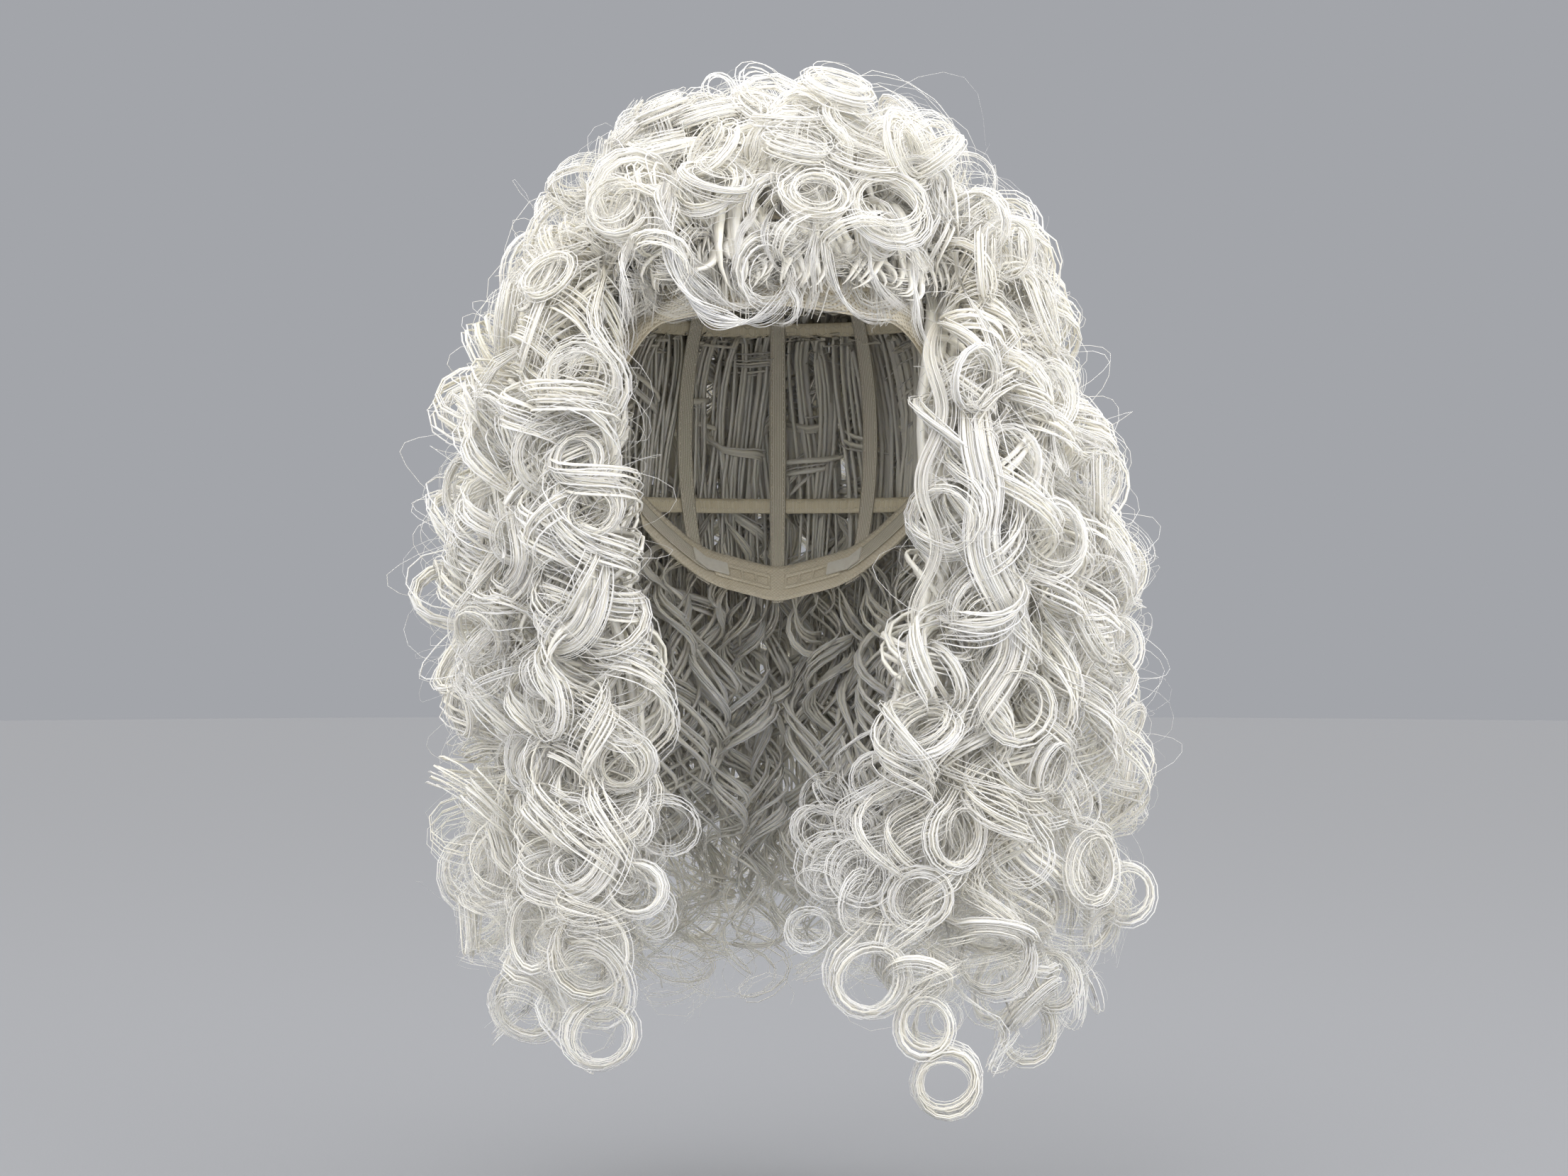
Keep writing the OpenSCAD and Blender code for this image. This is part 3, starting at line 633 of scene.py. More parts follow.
across, middle = [attribute(strands, mark, "FLOAT_VECTOR") for mark in ("across", "middle")]
girth, shade = [attribute(strands, mark) for mark in ("girth", "shade")]
here = add(strands, "GeometryNodeInputPosition")[0]
factor = add(strands, "GeometryNodeSplineParameter")["Factor"]
square = calc(strands, "MULTIPLY_ADD", calc(strands, "MULTIPLY", beside, beside), 2.6, 0.35)
width = calc(strands, "MULTIPLY", calc(strands, "MULTIPLY", beside, square), given["Lock width"])
width = calc(strands, "MULTIPLY", width, girth)
swell = calc(strands, "MULTIPLY_ADD", deep, given["Loose"], 1.0)
wound = vector(strands, "MULTIPLY_ADD", vector(strands, "SUBTRACT", here, middle), swell, middle)
drift = add(strands, "ShaderNodeTexNoise", {"Vector": here, "W": phase, "Scale": 22.0, "Detail": 1.0,
                                            "Roughness": 0.5}, noise_dimensions="4D")["Color"]
drift = vector(strands, "SUBTRACT", drift, (0.5, 0.5, 0.5))
amount = calc(strands, "MULTIPLY", ranged(strands, factor, 0.0, 0.5, 0.15, 1.0), given["Stray"])
moved = vector(strands, "ADD", vector(strands, "SCALE", across, width), vector(strands, "SCALE", drift, amount))
moved = vector(strands, "ADD", wound, moved)
lines = add(strands, "GeometryNodeSetPosition", {"Geometry": lines, "Position": moved})[0]
lines = add(strands, "GeometryNodeTrimCurve", {"Curve": lines, 3: ends}, mode="FACTOR")[0]
fleck = calc(strands, "ADD", fleck, shade, use_clamp=True)
run = add(strands, "GeometryNodeSplineParameter")["Length"]
for mark, value, domain in (("tone", fleck, "CURVE"), ("along", factor, "POINT"), ("length", run, "POINT"),
                            ("column", number, "CURVE")):
    lines = stored(strands, lines, mark, value, domain)
total = add(strands, "GeometryNodeAttributeDomainSize", {"Geometry": lines}, component="CURVE")["Spline Count"]
lines = add(strands, "GeometryNodeSetCurveNormal", {"Curve": lines, "Normal": across}, mode="FREE")[0]
taper = calc(strands, "MULTIPLY", ranged(strands, factor, 0.55, 1.0, 1.0, 0.15), girth)
hair = add(strands, "GeometryNodeCurvePrimitiveCircle",
           {"Resolution": given["Sides"], "Radius": given["Fibre radius"]})[0]
oval = add(strands, "ShaderNodeCombineXYZ", {0: 1.0, 1: given["Flatness"], 2: 1.0})[0]
hair = add(strands, "GeometryNodeTransform", {"Geometry": hair, "Scale": oval})[0]
hair = stored(strands, hair, "around", factor)
tubes = add(strands, "GeometryNodeCurveToMesh",
            {"Curve": lines, "Profile Curve": hair, "Scale": taper, "Fill Caps": True})[0]
# each fibre has its own column of the OFBake map, and its ends keep some room there
around, along, column = [attribute(strands, mark) for mark in ("around", "along", "column")]
beside = calc(strands, "DIVIDE", calc(strands, "MULTIPLY_ADD", around, 0.8, column), total)
tip = calc(strands, "SINE", calc(strands, "MULTIPLY", around, math.tau))
up = calc(strands, "MULTIPLY_ADD", tip, 0.006, ranged(strands, along, 0.0, 1.0, 0.01, 0.99))
spot = add(strands, "ShaderNodeCombineXYZ", {0: beside, 1: up})[0]
tubes = stored(strands, tubes, "OFBake", spot, "CORNER", "FLOAT2")
finished(strands, tubes, given["Fibre"])

# Layers of fibre: gathered cores, loose fibres over them, and strays that stand off. Each is a name,
# count, width, looseness, stray, radius, flatness, sides and shortest share, mm. Combed and soft layers
# are the flat locks under the curls, and the cores of rings are set in less than others.
WOUND = (("_cores", 5, 13.0, 0.16, 4.0, 0.75, 0.8, 3, 0.9), ("_fibres", 8, 17.0, 0.22, 5.5, 0.38, 1.0, 3, 0.85))
UNDER = (("_cores", 3, 13.0, 0.14, 3.5, 1.5, 0.55, 3, 0.92), ("_fibres", 1, 14.0, 0.17, 4.5, 0.45, 1.0, 3, 0.85))
NAPE = (("_cores", 5, 14.0, 0.16, 4.0, 1.05, 0.7, 3, 0.9), ("_fibres", 5, 16.0, 0.2, 5.0, 0.42, 1.0, 3, 0.85))
COMBED = (("_cores", 4, 27.0, 0.2, 5.0, 3.2, 0.3, 3, 0.9),)
SOFT = (("_cores", 9, 20.0, 0.3, 6.0, 1.2, 0.6, 3, 0.85),)
RINGS = (("_cores", 3, 6.0, 0.14, 2.5, 0.75, 0.8, 3, 0.92), ("_fibres", 9, 10.0, 0.22, 4.0, 0.34, 1.0, 3, 0.8))


def lock_lines(name, locks, inset=1):
    """The lines of many locks as one mesh in metres, with what the fibre tree needs at each point."""
    mesh = bpy.data.meshes.new(name)
    places = np.concatenate([lock["middle"] + inset * (lock["place"] - lock["middle"]) for lock in locks]) / 1000
    edges, first = [], 0
    for lock in locks:
        count = len(lock["place"])
        edges += [(first + i, first + i + 1) for i in range(count - 1)]
        first += count
    mesh.from_pydata(places.tolist(), edges, [])
    for key, kind, unit in (("across", "FLOAT_VECTOR", 1), ("middle", "FLOAT_VECTOR", 1000),
                            ("girth", "FLOAT", 1), ("shade", "FLOAT", 1)):
        values = np.concatenate([lock[key] for lock in locks]) / unit
        field = "vector" if kind == "FLOAT_VECTOR" else "value"
        mesh.attributes.new(key, kind, "POINT").data.foreach_set(field, values.astype(np.float32).ravel())
    return mesh


def dress(name, body, replaced, locks, seed, layers):
    """Grows the layers of fibre of many locks, in mm. Hair on the cap is attached to it."""
    inset = 0.97 if layers is RINGS else 0.9
    for kind, fibres, width, loose, stray, radius, flat, sides, shortest in layers:
        core = kind == "_cores"
        # cores take the shaded copy of the fibre, painted darker and warmer, and loose fibres the lit copy
        piece = grow(name + kind, strands, {
            "Fibres": fibres, "Lock width": width / 1000, "Loose": loose, "Stray": stray / 1000,
            "Fibre radius": radius / 1000, "Flatness": flat, "Sides": sides, "Shortest": shortest, "Seed": seed,
            "Fibre": lit_and_shaded_fibre[("shaded" if core else "lit") + "_synthetic_fibre"]},
            lock_lines(name + kind, locks, inset if core else 1))
        for spare in ("across", "middle", "girth", "shade", "column"):
            if spare in piece.data.attributes:
                piece.data.attributes.remove(piece.data.attributes[spare])
        if body == "cap":
            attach(piece, body)
        else:
            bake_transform(piece)
        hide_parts(*replaced)


chance = np.random.default_rng(11)
draw = chance.uniform
locks = []
for layer, (reach, drop, span, count) in enumerate(((4, 205, 132, 15), (18, 240, 118, 19))):
    for i in range(count):
        az = span + (360 - 2 * span) * (i + 0.5) / count + draw(-2, 2)
        el = -16 if layer else -41 + 16 * ((az - 180) / 48) ** 2
        root = on_head(az, el, ROOT)
        end = -drop + draw(-18, 18)
        points = [outside(az, reach, root[2] - 25), outside(az, reach, end / 2),
                  outside(az, reach + draw(-6, 6), end)]
        line = falling(root, 14 * outward(az, el), points, draw(4, 12) * outward(az, 0))
        locks.append(curled(line, draw(7, 11), draw(44, 60), chance, end_radius=11,
                            end_pitch=24, girth=1.3, fine=8))
# locks behind the ears, which fill the parting when the sides and the back lift away from each other
for i in range(12):
    side = 1 if i % 2 else -1
    az, reach = side * (102 + 2.2 * i), 22 + 9 * (i % 3)
    root = on_head(side * max(abs(az), BEHIND_EAR), -14, ROOT)
    points = [outside(az, 0.8 * reach, root[2] - 25), outside(az, reach, -100),
              outside(az, reach + draw(-6, 6), -205 + draw(-18, 18))]
    line = falling(root, 12 * outward(az, -14), points, draw(4, 12) * outward(az, 0))
    locks.append(curled(line, draw(8, 12), draw(40, 56), chance, end_radius=12,
                        end_pitch=22, girth=1.2, fine=8))
dress("nape_hair", "cap", ("nape_hair", "lower_back_hair"), locks, 3, NAPE)
combing = []
for i in range(15):
    az = 126 + 108 * (i + 0.5) / 15
    root = on_head(az, 26, ROOT)
    line = flow([root, root + 8 * outward(az, 26), outside(az, 14 + 3 * (i % 2), 4), outside(az, 15, -40),
                 outside(az, 17, -110)], 20)
    combing.append(combed(line, line * [1, 1, 0.2], chance))
dress("nape_hair_combed", "cap", ("nape_hair", "lower_back_hair"), combing, 2, SOFT)

# Back ringlets
# Long corkscrew locks sewn into the back track in three depths, with shorter rings between them.
# They hang free below the track.
BACK = (WOUND[0], ("_fibres", 7, 16.0, 0.2, 5.0, 0.38, 1.0, 3, 0.85))
LOOPS = (("_loops", 6, 6.0, 0.26, 5.0, 0.3, 1.0, 3, 0.75),)
STRAY = (("_strays", 1, 6.0, 0.4, 20.0, 0.14, 1.0, 3, 0.6),)
DOWN = np.array([0, 0, -1.0])


def ring(start, lead, centre, way, radius, turns, chance, shrink=0.62, rise=9, tilt=0.35):
    """A lock that runs from start to a flat open ring round a centre, facing a way, in mm."""
    way = way / np.linalg.norm(way) + chance.normal(0, tilt, 3) * 0.6
    way /= np.linalg.norm(way)
    hand = chance.choice([-1, 1])
    up = start - centre
    up = up - way * up.dot(way)
    up /= np.linalg.norm(up) + 1e-9
    side = np.cross(way, up) * hand
    angle = chance.uniform(-0.3, 0.9) + np.linspace(0, 2 * math.pi * turns, int(turns * 16) + 3)
    f = np.linspace(0, 1, len(angle))
    wobble = chance.uniform(0, 6.28, 2)
    size = radius * (1 - (1 - shrink) * f) * (1 + 0.1 * np.sin(angle * 1.6 + wobble[0]))
    loop = (centre + (np.cos(angle) * size)[:, None] * up + (np.sin(angle) * size)[:, None] * side
            + (f * rise)[:, None] * way)
    entry = loop[0]
    tangent = loop[1] - loop[0]
    tangent /= np.linalg.norm(tangent)
    far = np.linalg.norm(entry - start)
    t = np.linspace(0, 1, max(6, int(far / 9)))[:-1, None]
    lead_in = ((1 - t) ** 3 * start + 3 * (1 - t) ** 2 * t * (start + lead)
               + 3 * (1 - t) * t ** 2 * (entry - tangent * far * 0.4) + t ** 3 * entry)
    place = np.concatenate([lead_in, loop])
    count = len(place)
    f = np.linspace(0, 1, count)
    near = ease((np.arange(count) - len(lead_in) * 0.3) / (len(lead_in) * 0.7))[:, None]
    return {"place": place, "across": crossing(place, place - centre), "middle": place * (1 - near) + centre * near,
            "girth": (0.5 + 0.5 * ease(f * 5)) * (1 - 0.45 * ease((f - 0.75) * 4)),
            "shade": np.full(count, chance.uniform(0.2, 1))}


def turned(locks, side):
    """The same locks on the wearer's left, or mirrored to the right."""
    for lock in locks:
        for key in ("place", "across", "middle"):
            lock[key] = lock[key] * np.array([side, 1, 1])
    return locks


for side, name in ((1, "left"), (-1, "right")):
    chance = np.random.default_rng(21 if side > 0 else 22)
    draw = chance.uniform
    outer, under, rings, strays, combing = [], [], [], [], []
    for i in range(11):
        az = 113 + 68 * (i + 0.5) / 11
        root = on_head(max(az, BEHIND_EAR), 32, ROOT)
        line = flow([root, root + 20 * outward(az, 32), outside(az, 27 + 3 * (i % 2), 5), outside(az, 33, -70),
                     outside(az, 34 + 3 * (i % 2), -140), outside(az, 32, -205)], 30)
        combing.append(combed(line, line * [1, 1, 0.2], chance))
    for depth, (count, el, reach, drop) in enumerate(((7, 36, 50, 280), (5, 29, 37, 268), (4, 22, 26, 250))):
        for i in range(count):
            az = 113 + 66 * (i + (0.35, 0.7, 0.5)[depth]) / count + draw(-2, 2)
            out = (reach + draw(-4, 6)) * np.interp(az, (113, 130), (1.1, 1))
            root = on_head(max(az, BEHIND_EAR), el, ROOT)
            end = -drop + draw(0, 45)
            points = [outside(az, 0.8 * out, 5), outside(az, out * 1.05, -70),
                      outside(az + draw(-3, 3), out, (end - 70) / 2),
                      outside(az + draw(-4, 4), out, end)]
            line = falling(root, 0.55 * out * outward(az, el), points, draw(6, 16) * outward(az, 0))
            size, hand, start = draw(11, 17), chance.choice([-1, 1]), draw(0, 6.28)
            for twin in range(2 if depth < 2 else 1):
                (under if depth else outer).append(
                    curled(line, size * draw(0.8, 1.1), draw(34, 56), chance, 48, 15, size * 1.1,
                           7, start + 2.6 * twin, hand, fine=8 if depth else 9))
            for more in range(0 if depth else 4):
                strays.append(curled(line, size * draw(0.8, 1.1), draw(34, 56), chance, 48, 20,
                                     size, 6, fine=13))
    for i in range(17):
        az, z = 118 + 62 * ((i * 0.382) % 1), 34 - 300 * (i + draw(0, 1)) / 17
        out = np.interp(-z, (-40, 20, 90, 220, 280), (34, 44, 51, 51, 48)) + draw(-3, 6)
        start = outside(az + draw(-8, 8), out - 22, z + 55)
        rings.append(ring(start, 18 * DOWN, outside(az, out, z), outward(az, 0), draw(11, 19),
                          draw(1.5, 2.4), chance))
    for part, locks, seed, layers in (("_back_ringlets", outer, 5, BACK), ("_back_under_locks", under, 8, UNDER),
                                      ("_back_rings", rings, 6, RINGS), ("_back", strays, 7, STRAY),
                                      ("_back_combed", combing, 4, COMBED)):
        dress(name + part, name + "_back", (name + "_back_curls",), turned(locks, side), seed + side, layers)

# Side ringlets
# The long locks that frame the face, sewn into the side tracks in three depths. They arch out over
# the ears, fall in corkscrews to below the shoulders and end in open rings.
WAVES = (("_cores", 7, 16.0, 0.1, 2.0, 1.1, 0.5, 4, 0.94), ("_fibres", 26, 22.0, 0.2, 4.0, 0.28, 1.0, 3, 0.85))
# Heights, and the distance of the inner and outer edge of the hair from the middle at each, mm. Sides
# are the wearer's left, 1, and right, -1.
levels = (30, -4, -53, -103, -153, -186, -219, -253, -290)
edges = {1: ((58, 61, 57, 46, 34, 22, 24, 36, 56), (140, 152, 166, 170, 171, 168, 156, 150, 104)),
         -1: ((56, 64, 60, 45, 44, 52, 52, 52, 60), (134, 152, 158, 161, 140, 147, 145, 132, 120))}
# How far the hair hangs below the ears, from its edge at the face to its back, mm.
shares = (0, 0.2, 0.4, 0.6, 0.8, 1, 1.36)
drops = {1: (205, 282, 270, 262, 252, 238, 220), -1: (240, 266, 270, 268, 262, 246, 222)}
# The rings and loops that stand out at the front: distance from the middle, height, radius and turns, mm.
shown = {1: ((38, -233, 16, 2.4), (71, -276, 15, 2.6), (118, -241, 13, 1.8), (155, -205, 14, 1.8),
             (92, -226, 16, 2.2), (62, -252, 13, 1.7), (108, -262, 14, 1.6), (150, -60, 15, 1.5),
             (150, -95, 14, 1.6), (60, -200, 14, 1.8)),
         -1: ((83, -17, 11, 2.2), (133, -196, 20, 2.3), (76, -221, 18, 1.7), (110, -254, 15, 1.8),
              (73, -257, 14, 1.8), (135, -120, 13, 1.6), (95, -148, 15, 2.0), (60, -196, 12, 1.4),
              (128, -55, 15, 1.6), (138, 8, 13, 1.5))}
# Loose loops at the inner edge: their range of distance and height, mm, and their number.
loose = {1: ((8, 46), (-218, -150), 22), -1: ((46, 70), (-215, -150), 9)}
# Broad smooth waves at the front: their girth, how far they stand out, and points from the top, distance
# from the middle and height, mm.
broad = {1: ((1, 19, ((84, 22), (84, 0), (85, -14), (90, -29), (85, -45), (87, -61), (96, -75), (102, -88),
                      (100, -102), (91, -114), (83, -125), (83, -136))),
             (1, 19, ((116, 10), (116, -12), (108, -26), (113, -42), (122, -52), (117, -66))),
             (1, 19, ((96, -172), (106, -188), (118, -194), (126, -206), (122, -222))),
             (0.5, 11, ((68, 42), (63, 30), (66, 18), (71, 5), (67, -9), (60, -21), (61, -35), (68, -47),
                        (67, -61), (58, -73), (56, -86), (62, -96)))),
         -1: ((1, 19, ((78, -46), (72, -62), (73, -78), (80, -92), (92, -97), (101, -92))),
              (1, 19, ((112, -18), (110, -42), (103, -58), (112, -72), (124, -76))),
              (1, 19, ((70, -158), (66, -176), (73, -194), (90, -202), (108, -198))))}


def side_edges(side, z):
    """The inner and outer edge of the side hair at a height."""
    return [np.interp(-z, [-level for level in levels], row) for row in edges[side]]


def in_side_hair(side, w, z, deep):
    """A point of the side hair: w from its edge at the face, 0, to its widest line, 1, and behind it."""
    near, far = side_edges(side, z)
    near, far = near + 13, far - 17
    turn = math.radians(90 * w)
    x = near + (far - near) * w if w < 1 else far * math.cos((w - 1) * 1.3)
    y = -92 * max(0, math.cos(turn)) ** 0.8 - 6 if w < 1 else (w - 1) * 150 - 6
    return np.array([x - deep * math.sin(turn), y + deep * math.cos(turn), z])


def at_front(side, x, z, deep):
    """A point of the side hair at a distance from the middle, after its w."""
    near, far = side_edges(side, z)
    w = min(max((x - near - 13) / (far - near - 30), 0), 1)
    return w, in_side_hair(side, w, z, deep) * np.array([0, 1, 1]) + np.array([x, 0, 0])


for side, name in ((1, "left"), (-1, "right")):
    chance = np.random.default_rng(31 if side > 0 else 32)
    draw = chance.uniform
    front, rear, under, rings, strays, combing, loops, waves = [[] for _ in range(8)]
    for depth, (count, el) in enumerate(((7, 41), (6, 34), (5, 27))):
        for i in range(count):
            w = max(1.36 * (i + (0.2, 0.6, 0.4)[depth]) / count + draw(-0.03, 0.03), 0.08)
            az = 57 + 40 * w
            deep = 15 * depth
            drop = np.interp(w, shares, drops[side]) - 10 * depth - draw(0, 34)
            root = on_head(az, el, ROOT)
            points = [in_side_hair(side, w + draw(-0.04, 0.04), z, deep)
                      for z in np.linspace(8, -drop + 12, 6)]
            line = falling(root, (30 + 10 * w - 0.6 * deep) * outward(az, el), points,
                           draw(6, 16) * outward(az - 15, 0))
            size = draw(10.5, 16) * (0.72 if depth else 1)
            hand, start = chance.choice([-1, 1]), draw(0, 6.28)
            for twin in range(2):
                (under if depth else front if w < 0.62 else rear).append(
                    curled(line, size * draw(0.75, 1.1), draw(32, 56), chance, 46, 15,
                           size * 1.15, 7, start + 2.6 * twin, hand, fine=8 if depth else 12 if w < 0.62 else 9))
            for more in range(0 if depth else 8):
                strays.append(curled(line, size * draw(1.0, 1.35), draw(30, 60), chance, 46, 20,
                                     size * 1.2, 7, fine=13))
    for i in range(24):
        w, z = 1.36 * ((i * 0.382 + 0.1) % 1), 26 - 290 * (i + draw(0, 1)) / 24
        z = max(z, 12 - np.interp(w, shares, drops[side]))
        centre = in_side_hair(side, w, z, -draw(1, 8))
        start = in_side_hair(side, max(w + draw(-0.15, 0.15), 0.16), z + 55, 18)
        way = np.array([math.sin(w * 1.5), -math.cos(w * 1.5) - 0.25, -0.1])
        rings.append(ring(start, 20 * DOWN, centre, way, draw(11, 18), draw(1.2, 2.2), chance,
                          tilt=0.6))
    for x, z, radius, turns in shown[side]:
        w, centre = at_front(side, x, z, -6)
        start = in_side_hair(side, min(w + 0.12, 1), z + 52, 14)
        rings.append(ring(start, 20 * DOWN, centre, np.array([0.35 * w, -1, 0.05]), radius, turns, chance,
                          shrink=0.72, rise=6, tilt=0.2))
    for i in range(16):
        w = 0.16 + 1.24 * i / 15
        az = 57 + 40 * w
        root = on_head(az, 36, ROOT)
        points = [in_side_hair(side, w, z, 18 + 3 * (i % 2))
                  for z in np.linspace(4, 62 - np.interp(w, shares, drops[side]), 6)]
        line = flow([root, root + 24 * outward(az, 36), *points], 34)
        combing.append(combed(line, (line - [62, 10, 0]) * [1, 0.8, 0] + [0.01, 0, 0], chance))
    across, heights, count = loose[side]
    for i in range(count):
        x, z = draw(*across), draw(*heights)
        x = max(x, side_edges(side, z)[0] - 12)
        centre = np.array([x, in_side_hair(side, 0.05, z, 0)[1] + draw(-8, 14), z])
        start = in_side_hair(side, draw(0.05, 0.3), z + draw(30, 60), 12)
        way = np.array([draw(-0.8, 0.8), -1, draw(-0.5, 0.5)])
        loops.append(ring(start, 20 * DOWN, centre, way, draw(7, 14), draw(1.1, 2.2), chance,
                          shrink=draw(0.5, 0.9), tilt=0.5))
    for i in range(36):
        w, z = draw(0.1, 1.3), draw(-285, 30)
        z = max(z, -14 - np.interp(w, shares, drops[side]))
        centre = in_side_hair(side, w, z, -draw(0, 9))
        start = in_side_hair(side, max(w + draw(-0.12, 0.12), 0.12), z + draw(30, 55), 12)
        way = np.array([math.sin(w * 1.5), -math.cos(w * 1.5) - 0.2, 0])
        loops.append(ring(start, 20 * DOWN, centre, way, draw(7, 14), draw(1.0, 1.8), chance,
                          tilt=1.0))
    for girth, proud, points in broad[side]:
        last = len(points) - 1
        depths = [np.interp(n, (0, 1.5, last - 1, last), (14, -proud, -proud, 2)) for n in range(last + 1)]
        line = flow([at_front(side, x, z, deep)[1] for (x, z), deep in zip(points, depths)], 6 * len(points))
        waves.append(combed(line, np.broadcast_to([0.25, -1.0, 0.0], line.shape), chance, 0, girth))
    for part, locks, seed, layers in (
            ("_side", loops, 13, LOOPS), ("_front_ringlets", front, 9, WOUND), ("_rear_ringlets", rear, 10, WOUND),
            ("_side_under_locks", under, 11, UNDER), ("_side_rings", rings, 12, RINGS), ("_side", strays, 14, STRAY),
            ("_side_combed", combing, 15, COMBED), ("_side_waves", waves, 16, WAVES)):
        dress(name + part, name + "_side", (name + "_side_curls",), turned(locks, side), seed + side, layers)

# Crown curls
# Short locks sewn into the ring tracks over the net. Each is set in a loose curl that lies on the
# one below and shows its ring, so that the crown stands up full and round.
# Loops that stand off the crown: sideways, back and up, and radius, mm.
standing = {"upper": ((-27, -12, 151, 8), (-7, -6, 152, 13), (22, -10, 152, 7), (-46, 4, 141, 12)),
            "middle": ((-62, -12, 130, 12), (66, -10, 130, 12), (84, -12, 112, 12)),
            "lower": ((-84, -18, 110, 13), (104, -10, 84, 12), (-108, -6, 62, 12))}
# Curls over the parting at the top: azimuth, elevation, height off the head and radius.
over = {"upper": ((285, 84, 36, 14), (262, 76, 37, 15), (300, 72, 38, 16), (330, 82, 37, 15), (230, 82, 36, 14)),
        "middle": ((278, 62, 38, 17), (304, 58, 37, 15)), "lower": ()}
TOP = 75                                      # curls above this elevation lie flatter, degrees
for name, rows, seed in (("upper", ((88, 6), (79, 8)), 41), ("middle", ((70, 11), (61, 14)), 42),
                         ("lower", ((52, 17), (44, 19), (37, 18)), 43)):
    chance = np.random.default_rng(seed)
    draw = chance.uniform
    locks, rings, strays, combing, loops = [], [], [], [], []
    for el, count in rows:
        for i in range(count + 4):
            az = 360 * (i + 0.5 * (el % 2)) / (count + 4)
            root, sway = on_head(az, el, ROOT), draw(-6, 6)
            tip = max(el - 30, 25) if from_face(az) < 58 else el - 30
            line = flow([root, root + 16 * outward(az, el), on_head(az, el - 4, 24),
                         on_head(az + sway, 0.5 * (el + tip), 27), on_head(az + 2 * sway, tip, 25)], 18)
            combing.append(combed(line, line, chance))
        for i in range(count):
            az = 360 * (i + 0.5 * (el % 2)) / count + draw(-6, 6)
            if el == 37 and from_face(az) < 52:
                continue
            fall = draw(14, 24)
            lean = draw(-20, 20) / max(0.35, math.cos(math.radians(el)))
            facing = from_face(az) / 180
            high = (np.interp(el, (35, 60, 75, 90), (41, 40, 43, 46)) * np.interp(facing, (0, 0.35, 1), (0.72, 1, 1))
                    + draw(-3, 5))
            root, way = on_head(az, el, ROOT), outward(az + lean, el - fall)
            top = on_head(az + 0.2 * lean, el - 0.1 * fall, high * 0.8)
            low = on_head(az + 0.8 * lean, el - 0.8 * fall, high)
            line = flow([root, root + 10 * outward(az, el), top, low, low + 6 * way])
            size = draw(10, 15)
            locks.append(curled(line, size, draw(28, 44), chance, 30, 15, size, 3, tight=0.7))
            if el > 52 or facing > 0.27:
                rings.append(ring(root, 24 * outward(az, el), on_head(az + lean, el - fall, high + 5), way,
                                  draw(11, 19), draw(1.2, 2.3), chance,
                                  tilt=0.8 if el < TOP else 0.3))
            widest, end_size, wander = (1.7, 1.5, 6) if el < TOP else (0.9, 0.8, 3)
            for more in range(7):
                strays.append(curled(line, size * draw(0.8, widest), draw(30, 50), chance, 30, 20,
                                     size * end_size, wander, fine=12))
    for az, el, off, radius in over[name]:
        root, centre, way = on_head(az + 20, min(el + 8, 88), 10), on_head(az, el, off), outward(az, el)
        rings.append(ring(root, 24 * way, centre, way, radius, draw(1.5, 2.4), chance, tilt=0.4))
        line = flow([root, root + 16 * way, on_head(az - 6, el, 0.8 * off), on_head(az - 12, el - 6, 0.9 * off)])
        locks.append(curled(line, 0.8 * radius, 34, chance, 24, 15, radius, 3, tight=0.7))
    for x, y, z, radius in standing[name]:
        start = np.array([0.8 * x, y + 10, 0.8 * z])
        loops.append(ring(start, 0.2 * start, np.array([x, y, z], float), np.array([0.3, -1.0, 0.2]), radius,
                          draw(1.0, 1.5), chance, 0.8, 4, tilt=0.4))
    for part, hair, step, layers in (("_ringlets", locks, 0, WOUND), ("_rings", rings, 3, RINGS),
                                     ("", strays, 6, STRAY), ("_combed", combing, 9, COMBED), ("", loops, 12, LOOPS)):
        dress(name + "_crown" + part, "cap", (name + "_crown_curls",), hair, seed + step, layers)

# Fringe
# Short locks sewn along the front edge. They rise off the brow and fall on the forehead, where they
# end in one wide loop, thin curved wisps and open rings.
FINE = (("_cores", 6, 13.0, 0.2, 4.5, 0.5, 0.8, 3, 0.85), ("_fibres", 12, 17.0, 0.3, 6.0, 0.28, 1.0, 3, 0.7))
WISPS = (("_wisps", 26, 9.0, 0.3, 4.0, 0.26, 1.0, 3, 0.75),)
chance = np.random.default_rng(51)
draw = chance.uniform
locks, rings, strays, wisps, combing = [], [], [], [], []
for i in range(18):
    az = -54 + 108 * (i + 0.5) / 18 + draw(-2, 2)
    el = 37 + draw(-3, 3)
    root = on_head(az, el, ROOT)
    high = draw(16, 24)
    tip_el = 27 + draw(-3, 4)
    sway = draw(-7, 7)
    line = flow([root, root + 12 * outward(az, el), on_head(az, el - 2, high), on_head(az + sway, tip_el + 5, high - 3),
                 on_head(az + 1.3 * sway, tip_el, high - 6), on_head(az + 1.3 * sway, tip_el, high + 4)])
    size = draw(8, 13)
    for twin in range(2):
        locks.append(curled(line, size, draw(30, 44), chance, 24, 16, size, 2, tight=0.6, girth=0.8, fine=11))
    for more in range(4):
        strays.append(curled(line, size * 1.3, draw(30, 50), chance, 24, 20, size * 1.5, 4, fine=13))
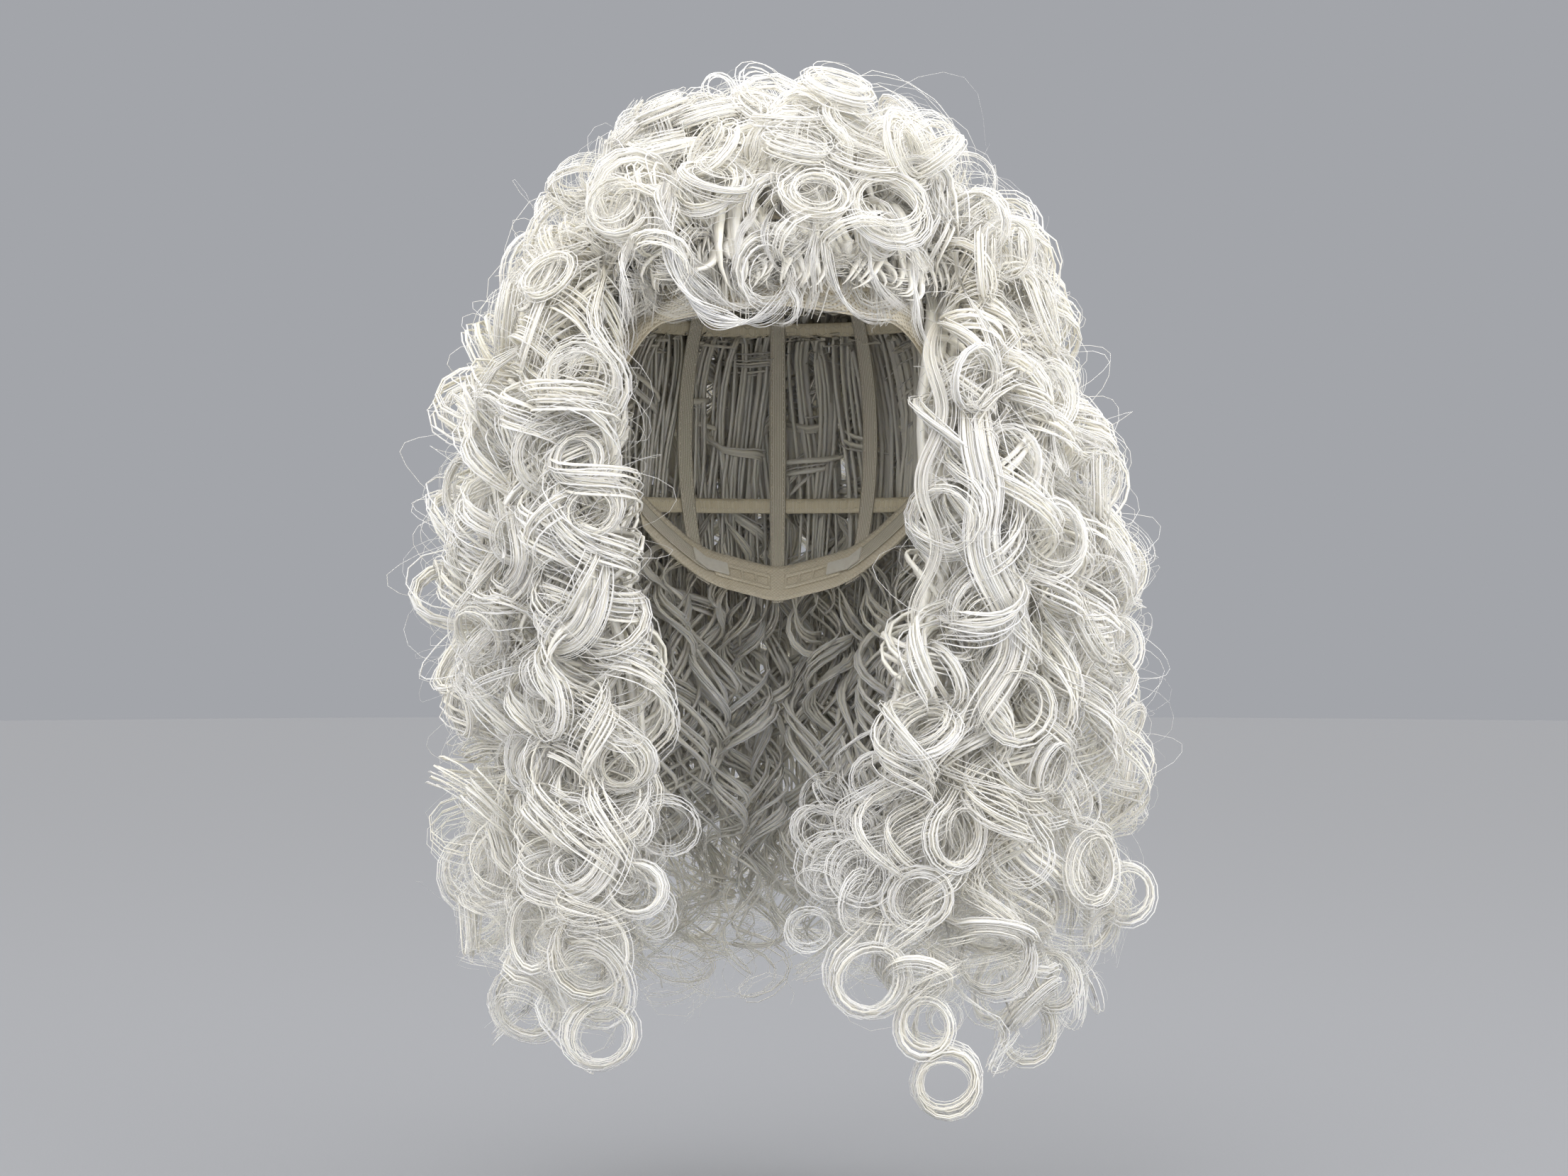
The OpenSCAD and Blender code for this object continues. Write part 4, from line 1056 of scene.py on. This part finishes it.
# the rings that show over the brow: sideways and up, radius and turns
for x, z, radius, turns in ((44, 80, 11, 1.7), (72, 94, 14, 1.6), (-29, 98, 14, 1.5), (-57, 84, 11, 1.7),
                            (10, 104, 13, 1.3)):
    el = math.degrees(math.asin(z / 143))
    az = math.degrees(math.asin(x / 116 / math.cos(math.radians(el))))
    rings.append(ring(on_head(az, el + 14, 10), 24 * outward(az, el), on_head(az, el, 36), outward(az, 0.6 * el),
                      radius, turns, chance, 0.75, 5, tilt=0.2))
# the wisps on the forehead: girth, and points sideways and up in mm
for girth, points in ((1.3, ((-47, 100), (-50, 84), (-46, 72), (-39, 59), (-33, 47), (-23, 40), (-11, 37), (-1, 43),
                             (5, 56), (6, 70))),
                      (1.0, ((-44, 98), (-46, 84), (-42, 70), (-36, 58), (-28, 48), (-18, 43), (-8, 44), (0, 52))),
                      (0.7, ((12, 92), (15, 76), (13, 63), (17, 52), (16, 42), (11, 37))),
                      (0.6, ((0, 90), (-8, 78), (-5, 66), (2, 58))),
                      (0.7, ((18, 78), (22, 62), (29, 47), (38, 39), (49, 40), (54, 37))),
                      (0.6, ((-8, 88), (-16, 76), (-14, 64), (-20, 54))),
                      (0.6, ((38, 72), (42, 56), (50, 45), (58, 40))),
                      (0.7, ((-60, 78), (-64, 60), (-60, 44), (-66, 32))),
                      (0.5, ((4, 60), (10, 46), (4, 38), (-4, 41))),
                      (0.6, ((56, 70), (60, 52), (58, 36), (63, 26)))):
    line = flow([np.array([x, -100 - 20 * math.cos(x / 60) + 0.3 * (z - 46) - 3 * math.sin(n), z])
                 for n, (x, z) in enumerate(points)], 50)
    wisps.append(curled(line, 1.6, 70, chance, 12, wander=0.6, girth=girth, fine=24))
for i in range(17):
    az = -58 + 116 * (i + 0.5) / 17
    root, tip, sway = on_head(az, 39, ROOT), 24 + 4 * math.sin(2.4 * i), 5 * math.sin(1.7 * i)
    line = flow([root, root + 9 * outward(az, 39), on_head(az + 0.3 * sway, 36, 19),
                 on_head(az + sway, 0.5 * (36 + tip), 16), on_head(az + 1.4 * sway, tip, 11)], 13)
    combing.append(combed(line, line, chance, 0.5))
for part, hair, seed, layers in (("_combed", combing, 55, SOFT), ("_ringlets", locks, 51, FINE),
                                 ("_rings", rings, 52, RINGS), ("", strays, 53, STRAY), ("", wisps, 54, WISPS)):
    dress("fringe" + part, "cap", ("fringe_curls",), hair, seed, layers)

# Studio
# A pale round floor under the wig in an even grey room, soft lamps above and at both sides, and a
# level camera.
FLOOR = 6                                     # radius, m
rim = [math.tau * i / 64 for i in range(64)]
floor = bpy.data.meshes.new("floor")
floor.from_pydata([(FLOOR * math.cos(a), FLOOR * math.sin(a), -0.36) for a in rim], [], [list(range(64))])
ground = bpy.data.objects.new("floor", floor)
bpy.context.scene.collection.objects.link(ground)
paper, nodes = surface("matt_paper")
grain = noise(nodes, add(nodes, "ShaderNodeTexCoord")["Object"], 900.0)
coat(nodes, between(nodes, grain, "#808287", "#86888d"), {"Roughness": 0.9, "Specular IOR Level": 0.1})
floor.materials.append(paper)
for name, place, aim, power in (("key", (-0.5, -1.3, 1.3), (0, 0, 0), 10.5),
                                ("fill", (1.2, -1.1, 0.4), (0, 0, -0.05), 9.5),
                                ("top", (0, 0.2, 1.6), (0, 0, 0), 3)):
    lamp = bpy.data.lights.new(name, "AREA")
    lamp.energy, lamp.size = power, 1.2
    holder = bpy.data.objects.new(name, lamp)
    holder.location = place
    way = np.array(aim) - np.array(place)
    holder.rotation_euler = (math.acos(-way[2] / np.linalg.norm(way)), 0, math.atan2(-way[0], way[1]))
    bpy.context.scene.collection.objects.link(holder)
# the room lights the wig as white walls do, and looks grey
world = bpy.data.worlds.new("studio")
bpy.context.scene.world = world
world.use_nodes = True
room = world.node_tree
room.nodes.clear()
rays = add(room, "ShaderNodeLightPath")
looked = calc(room, "MAXIMUM", rays["Is Camera Ray"], rays["Is Glossy Ray"])
looked = calc(room, "MAXIMUM", looked, rays["Is Transmission Ray"])
light = add(room, "ShaderNodeBackground", {"Color": (1.0, 0.985, 0.955, 1), "Strength": 1.8})[0]
grey = add(room, "ShaderNodeBackground", {"Color": linear("#a3a5aa")})[0]
both = add(room, "ShaderNodeMixShader", {0: looked, 1: light, 2: grey})[0]
add(room, "ShaderNodeOutputWorld", {"Surface": both})
camera = bpy.data.cameras.new("camera")
camera.lens, camera.sensor_width = 76, 36
eye = bpy.data.objects.new("camera", camera)
eye.location = (0.003, -1.485, -0.070)
eye.rotation_euler = (math.radians(90), 0, 0)
bpy.context.scene.collection.objects.link(eye)
bpy.context.scene.camera = eye
bpy.context.scene.view_settings.view_transform = "Standard"
